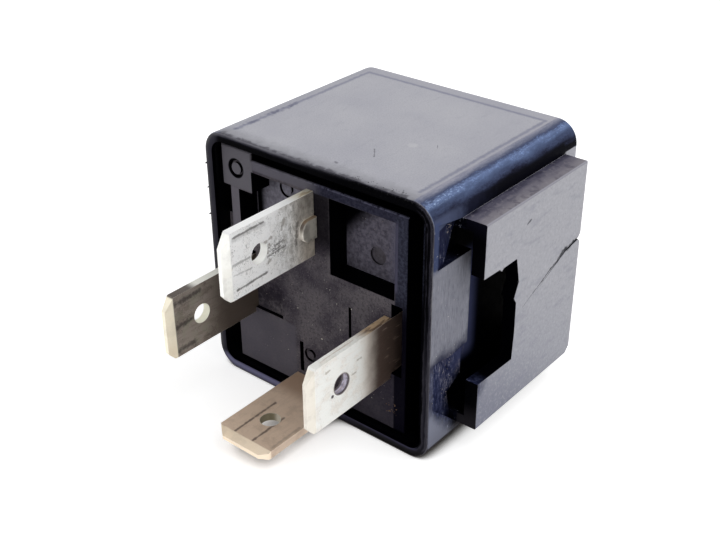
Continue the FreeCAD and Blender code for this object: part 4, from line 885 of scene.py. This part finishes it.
def blade_brown():
    """Brown-grey blade with a cream tip: the brown-grey of its face is painted shade and dark reflection."""
    blade = Blade("blade_brown", "x", near=-8.49, tip_line=-10.1, hole=(-6.85, -2.45))
    # Painted shade: the face's dark tones stand in for shade and dark reflections on the plating.
    blade.tones((158, 148, 139), (126, 115, 106), (84, 74, 66), -7.6, -3.4, 0.7)
    green = ramp(blade.noise(1.1, detail=5.0, offset=7.0), 0.5, 0.66)
    green = both(green, below(blade.y, -5.5, 1.5))
    blade.lay((146, 145, 128), green, 0.5)
    for across, start, end in ((-0.1, -9.9, -7.0), (-2.5, -9.9, -8.2), (-5.0, -10.0, -8.0)):
        blade.line((52, 46, 46), (start, end), (across, across + 0.1), 0.42, 0.6, 0.75)
    upper_tone = blade.over((74, 62, 54), (255, 253, 240), above(blade.y, -7.5, 0.6))
    blade.lay(upper_tone, blade.faces_up, 0.95)
    blade.hole_wall((252, 248, 230))
    return blade.finish_blade((250, 242, 222), (242, 236, 222), 0.6)


def blade_tan():
    """Tan blade with two pressed grooves and a peach tip."""
    blade = Blade("blade_tan", "z", near=-10.38, tip_line=-10.4, hole=(-7.15, -0.12), tip_metal=0.85)
    blade.tones((230, 205, 182), (214, 189, 167), (184, 155, 132), -4.0, -2.0, 0.12)
    groove = (104, 88, 80)
    blade.line(groove, (-10.3, -5.0), (-1.45, -1.5), 0.22, 0.45, 0.85)
    blade.line(groove, (-10.3, -6.2), (0.72, 0.7), 0.22, 0.45, 0.85)
    blade.line(groove, (-10.0, -6.4), (2.75, 2.75), 0.24, 0.5, 0.3)
    wall = blade.over((226, 218, 202), (128, 120, 96), below(blade.x, -0.3, 0.3))
    blade.hole_wall(wall)
    return blade.finish_blade((255, 232, 208), (255, 250, 238), 0.7, 0.2)


def bare_metal(name, low, high, drawn):
    """Bare or plated metal with cloudy tone, fine rubbing and brighter edges that are painted highlights."""
    paint = Paint(name, metallic=0.9)
    cloud = paint.noise(1.2, detail=4.0)
    rub = paint.noise(0.2, detail=4.0, stretch=(1, drawn, 1))
    paint.colour = paint.over(low, high, ramp(cloud, 0.35, 0.65))
    paint.lay(low, ramp(rub, 0.5, 0.7), 0.4)
    # Painted highlight on the sharp edges.
    paint.lay(high, paint.edge(0.06), 0.5)
    paint.raise_by(rub, 0.008)
    return paint.finish(ramp(cloud, 0.3, 0.7, 0.29, 0.45))


def bobbin_plastic():
    """Pale moulded nylon."""
    paint = Paint("bobbin_plastic", specular=0.4)
    cloud = paint.noise(2.0, detail=3.0)
    grain = paint.noise(0.2, detail=4.0)
    paint.colour = paint.over((206, 200, 184), (222, 217, 203), ramp(cloud, 0.35, 0.65))
    paint.lay((188, 180, 160), ramp(grain, 0.5, 0.7), 0.35)
    paint.raise_by(grain, 0.012)
    return paint.finish(ramp(grain, 0.3, 0.7, 0.4, 0.55))


def copper_wire(coil_node):
    """Enamelled wire: fine turns along the coil, with crossing wander."""
    low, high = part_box(coil_node)
    paint = Paint("copper", metallic=0.75)
    spans = [high[axis] - low[axis] for axis in range(3)]
    length_axis = spans.index(max(spans))
    wander = paint.noise(2.5, detail=2.0)
    along = (paint.x, paint.y, paint.z)[length_axis]
    phase = calc("MULTIPLY", plus(along, wander, 0.12), math.tau / WIRE_PITCH)
    ridge = ramp(calc("SINE", phase), -1.0, 1.0)
    cloud = paint.noise(1.4, detail=3.0)
    paint.colour = paint.over((96, 44, 22), (186, 98, 58), ridge)
    paint.lay((140, 62, 34), ramp(cloud, 0.45, 0.7), 0.5)
    paint.raise_by(ridge, 0.05)
    return paint.finish(ramp(cloud, 0.3, 0.7, 0.25, 0.4))


def tape_film():
    """Yellowish insulating tape with faint creases."""
    paint = Paint("tape", specular=0.5)
    cloud = paint.noise(2.0, detail=3.0)
    crease = paint.noise(0.5, detail=4.0, stretch=(5, 1, 1))
    paint.colour = paint.over((196, 150, 62), (214, 172, 86), ramp(cloud, 0.35, 0.65))
    paint.lay((150, 108, 42), ramp(crease, 0.55, 0.75), 0.4)
    paint.raise_by(crease, 0.02)
    return paint.finish(ramp(crease, 0.3, 0.7, 0.25, 0.4))


def dress_nodes():
    """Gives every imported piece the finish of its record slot."""
    finishes = {
        "case_plastic": case_plastic(),
        "base_plastic": base_plastic(),
        "blade_grey": blade_grey(),
        "blade_pale": blade_pale(),
        "blade_brown": blade_brown(),
        "blade_tan": blade_tan(),
        "bobbin_plastic": bobbin_plastic(),
        "copper": copper_wire("coil_winding"),
        "tape": tape_film(),
        **{name: bare_metal(name, *tones) for name, tones in METALS.items()},
    }
    for part in frame["record"]["subparts"]:
        mesh = frame["nodes"][part["node"]].data
        mesh.materials.clear()
        mesh.materials.append(finishes[part["material_slot"]])


def new_object(name, data):
    made = bpy.data.objects.new(name, data)
    bpy.context.scene.collection.objects.link(made)
    return made


def shape_mesh(name, shape, material):
    """Mesh of a shape built with bmesh, which is freed."""
    mesh = bpy.data.meshes.new(name)
    shape.to_mesh(mesh)
    shape.free()
    mesh.materials.append(material)
    return mesh


def bending_spring():
    """Copies the leaf spring's mesh into an object of its own and hides the imported spring."""
    mesh = frame["nodes"]["contact_spring"].data.copy()
    mesh.name = "spring_leaf"
    leaf = new_object("spring_leaf", mesh)
    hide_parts("contact_spring")
    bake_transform(leaf)


def grit_material(name, low, high):
    """Dust and crumbs: matt, uneven in tone."""
    paint = Paint(name, specular=0.2)
    tone = paint.noise(0.12, detail=3.0)
    paint.raise_by(tone, 0.01)
    paint.colour = paint.over(low, high, ramp(tone, 0.35, 0.65))
    return paint.finish(ramp(tone, 0.3, 0.7, 0.6, 0.85))


def surface_finder(node):
    """Gives a function that drops a point onto a node along a direction."""
    mesh = frame["nodes"][node].data
    vertices = [tuple(vertex.co) for vertex in mesh.vertices]
    tree = BVHTree.FromPolygons(vertices, [tuple(polygon.vertices) for polygon in mesh.polygons])

    def drop(start, direction):
        place, facing, _, _ = tree.ray_cast(Vector(start) * MM, Vector(direction).normalized())
        return place, facing
    return drop


def add_grain(grains, rng, place, facing, size):
    """One crumb, flattened on its face and half sunk in it."""
    made = bmesh.ops.create_icosphere(grains, subdivisions=1, radius=size * MM / 2)
    stretch = Vector((rng.uniform(0.6, 1.5), rng.uniform(0.6, 1.2), rng.uniform(0.35, 0.7)))
    spin = Matrix.Rotation(rng.uniform(0, math.tau), 3, "Z").to_quaternion()
    turn = facing.to_track_quat("Z", "Y") @ spin
    for vertex in made["verts"]:
        shaped = Vector(part * scale * rng.uniform(0.8, 1.15) for part, scale in zip(vertex.co, stretch))
        vertex.co = place + turn @ shaped


def scatter(name, material, drop, direction, zone, count, sizes, seed, marks):
    """Crumbs over a zone, given as its lowest and highest corner, and at named marks."""
    rng = random.Random(seed)
    grains = bmesh.new()
    low, high = zone
    starts = []
    for _ in range(count):
        start = tuple(rng.uniform(a, b) for a, b in zip(low, high))
        starts.append((start, rng.uniform(*sizes)))
    for start, size in starts + list(marks):
        place, facing = drop(start, direction)
        if place is not None:
            add_grain(grains, rng, place, facing, size)
    crumbs = new_object(name, shape_mesh(name, grains, material))
    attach(crumbs, "relay_housing")
    return crumbs


def rim_burrs(material):
    """Small torn spikes along the left front edge of the rim."""
    rng = random.Random(BURR_SEED)
    spikes = bmesh.new()
    for height in BURR_HEIGHTS:
        ring = []
        for step in range(BURR_SIDES):
            angle = math.tau * step / BURR_SIDES
            out = BURR_SPREAD * rng.uniform(0.8, 1.2)
            across = -CASE_HALF_WIDTH + BURR_SPREAD + out * 0.8 * math.cos(angle)
            corner = Vector((across, RIM_FACE + BURR_SINK, height + out * math.sin(angle)))
            ring.append(spikes.verts.new(corner * MM))
        point = Vector((-CASE_HALF_WIDTH + BURR_SPREAD * 0.4, RIM_FACE - BURR_REACH, height))
        tip = spikes.verts.new(point * MM)
        for first, second in zip(ring, ring[1:] + ring[:1]):
            spikes.faces.new((first, second, tip))
        spikes.faces.new(ring)
    bmesh.ops.recalc_face_normals(spikes, faces=spikes.faces)
    burrs = new_object("rim_burrs", shape_mesh("rim_burrs", spikes, material))
    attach(burrs, "relay_housing")


def dirt():
    """Dust, rust crumbs and grit where the photograph shows them."""
    dust = grit_material("pale_dust", (150, 146, 140), (222, 218, 208))
    rust = grit_material("rust_crumbs", (66, 48, 38), (124, 100, 80))
    dark = grit_material("dark_grit", (18, 18, 22), (54, 52, 54))
    ashes = grit_material("grey_grit", (96, 92, 96), (150, 142, 138))
    on_base = surface_finder("base")
    on_case = surface_finder("cover")
    inward, left, down = (0, 1, 0), (-1, 0, 0), (0, 0, -1)
    base_marks = [((x, -0.5, z), size) for x, z, size in BASE_DUST_MARKS]
    layers = (
        ("base_dust", dust, on_base, inward, ((-5.5, -0.5, -9.5), (7.5, -0.5, 1.5)), 36, (0.03, 0.09),
         base_marks),
        ("base_ash", ashes, on_base, inward, ((-9.5, -0.5, -10.5), (9.0, -0.5, 1.5)), 60, (0.04, 0.1), ()),
        ("base_rust", rust, on_base, inward, ((7.6, -0.5, -10.0), (8.8, -0.5, -8.6)), 18, (0.06, 0.2), ()),
        ("slot_crumbs", rust, on_base, inward, ((8.12, -0.5, -5.2), (8.5, -0.5, 1.0)), 26, (0.06, 0.16), ()),
        ("pocket_dust", ashes, on_base, inward, ((3.0, -0.5, 4.0), (8.2, -0.5, 9.3)), 50, (0.04, 0.1), ()),
        ("rim_grit", dark, on_case, down, ((4.5, -0.75, 13.5), (9.8, -0.2, 13.5)), 22, (0.05, 0.15), ()),
        ("lead_in_grit", ashes, on_case, left, ((17.0, 1.3, 9.2), (17.0, 2.9, 10.3)), 16, (0.06, 0.2), ()),
        ("socket_grit", ashes, on_case, left, ((17.0, 1.4, -7.6), (17.0, 2.9, -3.6)), 26, (0.04, 0.12), ()),
        ("wall_dust", dust, on_case, left, ((17.0, -0.6, -7.5), (17.0, 2.8, 10.5)), 36, (0.03, 0.09), ()),
    )
    for seed, (name, material, drop, direction, zone, count, sizes, marks) in enumerate(layers):
        crumbs = scatter(name, material, drop, direction, zone, count, sizes, DIRT_SEED + seed, marks)
    rim_burrs(dark)


def straight_view(tree):
    """One for the rays of the view, also by mirrors and glass, and zero for all others."""
    rays = tree.nodes.new("ShaderNodeLightPath").outputs
    return either(rays["Is Camera Ray"], either(rays["Is Glossy Ray"], rays["Is Transmission Ray"]))


def studio_world():
    """White room, brighter to the view than as a light."""
    world = bpy.data.worlds.new("studio")
    bpy.context.scene.world = world
    world.use_nodes = True
    background = world.node_tree.nodes["Background"]
    background.inputs["Color"].default_value = (1.0, 1.0, 1.0, 1.0)
    feed(background.inputs["Strength"],
         ramp(straight_view(world.node_tree), 0.0, 1.0, AMBIENT, 1.0, "LINEAR"))


def floor_material():
    """White that glows a little to the view, with a painted brown contact shadow and less glow where the
    part touches it.
    """
    material = bpy.data.materials.new("floor")
    material.use_nodes = True
    tree = material.node_tree
    inputs = tree.nodes["Principled BSDF"].inputs
    inputs["Roughness"].default_value = 0.9
    inputs["Specular IOR Level"].default_value = 0.0
    inputs["Emission Color"].default_value = (1.0, 1.0, 1.0, 1.0)
    closeness = tree.nodes.new("ShaderNodeAmbientOcclusion")
    closeness.inputs["Distance"].default_value = FLOOR_CONTACT * MM
    openness = closeness.outputs["AO"]
    # Painted contact shadow: the floor's colour turns brown where the part stands close over it.
    tone = tree.nodes.new("ShaderNodeMix")
    tone.data_type = "RGBA"
    feed(tone.inputs["Factor"], ramp(openness, *CONTACT_SHADOW_RANGE, kind="LINEAR"))
    tone.inputs["A"].default_value = CONTACT_SHADOW_BROWN
    tone.inputs["B"].default_value = (FLOOR_WHITE, FLOOR_WHITE, FLOOR_WHITE, 1.0)
    feed(inputs["Base Color"], tone.outputs["Result"])
    glow = ramp(openness, *GLOW_RANGE, 0.0, FLOOR_OWN_LIGHT, "LINEAR")
    feed(inputs["Emission Strength"], share(glow, straight_view(tree)))
    return material


def studio_floor(height):
    """Plain floor that keeps the part's shadow."""
    size = FLOOR_SIZE * MM / 2
    mesh = bpy.data.meshes.new("floor")
    corners = [(-size, -size, height), (size, -size, height), (size, size, height), (-size, size, height)]
    mesh.from_pydata(corners, [], [(0, 1, 2, 3)])
    mesh.materials.append(floor_material())
    floor = new_object("floor", mesh)
    floor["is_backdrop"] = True


def studio_lamp(name, direction, size, level, middle):
    """Square soft lamp; a level of 1 lights a surface that faces it in full."""
    data = bpy.data.lights.new(name, "AREA")
    data.shape = "SQUARE"
    data.size = size * MM
    data.energy = level * LAMP_FULL_LEVEL * (LAMP_DISTANCE * MM) ** 2
    lamp = new_object(name, data)
    away = Vector(direction).normalized()
    lamp.location = middle + away * LAMP_DISTANCE * MM
    lamp.rotation_euler = away.to_track_quat("Z", "Y").to_euler()


def studio_camera():
    """Camera of the photograph, from its yaw, downward pitch and roll."""
    yaw, pitch, roll = (math.radians(angle) for angle in (CAMERA_YAW, CAMERA_PITCH, CAMERA_ROLL))
    ahead = Vector((-math.sin(yaw) * math.cos(pitch), math.cos(yaw) * math.cos(pitch), -math.sin(pitch)))
    level = Vector((math.cos(yaw), math.sin(yaw), 0.0))
    upright = level.cross(ahead)
    right = level * math.cos(roll) + upright * math.sin(roll)
    top = upright * math.cos(roll) - level * math.sin(roll)
    data = bpy.data.cameras.new("camera")
    data.sensor_width = SENSOR_WIDTH
    data.lens = CAMERA_FOCAL_PX / PICTURE_WIDTH_PX * SENSOR_WIDTH
    data.clip_start = 0.005
    data.clip_end = 20.0
    camera = new_object("camera", data)
    turned = Matrix((right, top, -ahead)).transposed().to_4x4()
    camera.matrix_world = Matrix.Translation(CAMERA_PLACE * MM) @ turned
    bpy.context.scene.camera = camera


def studio():
    low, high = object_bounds()
    middle = (Vector(low) + Vector(high)) / 2
    studio_world()
    studio_floor(low[2])
    for name, direction, size, level in LAMPS:
        studio_lamp(name, direction, size, level, middle)
    studio_camera()
    bpy.context.scene.view_settings.view_transform = "Standard"


dress_nodes()
bending_spring()
dirt()
studio()
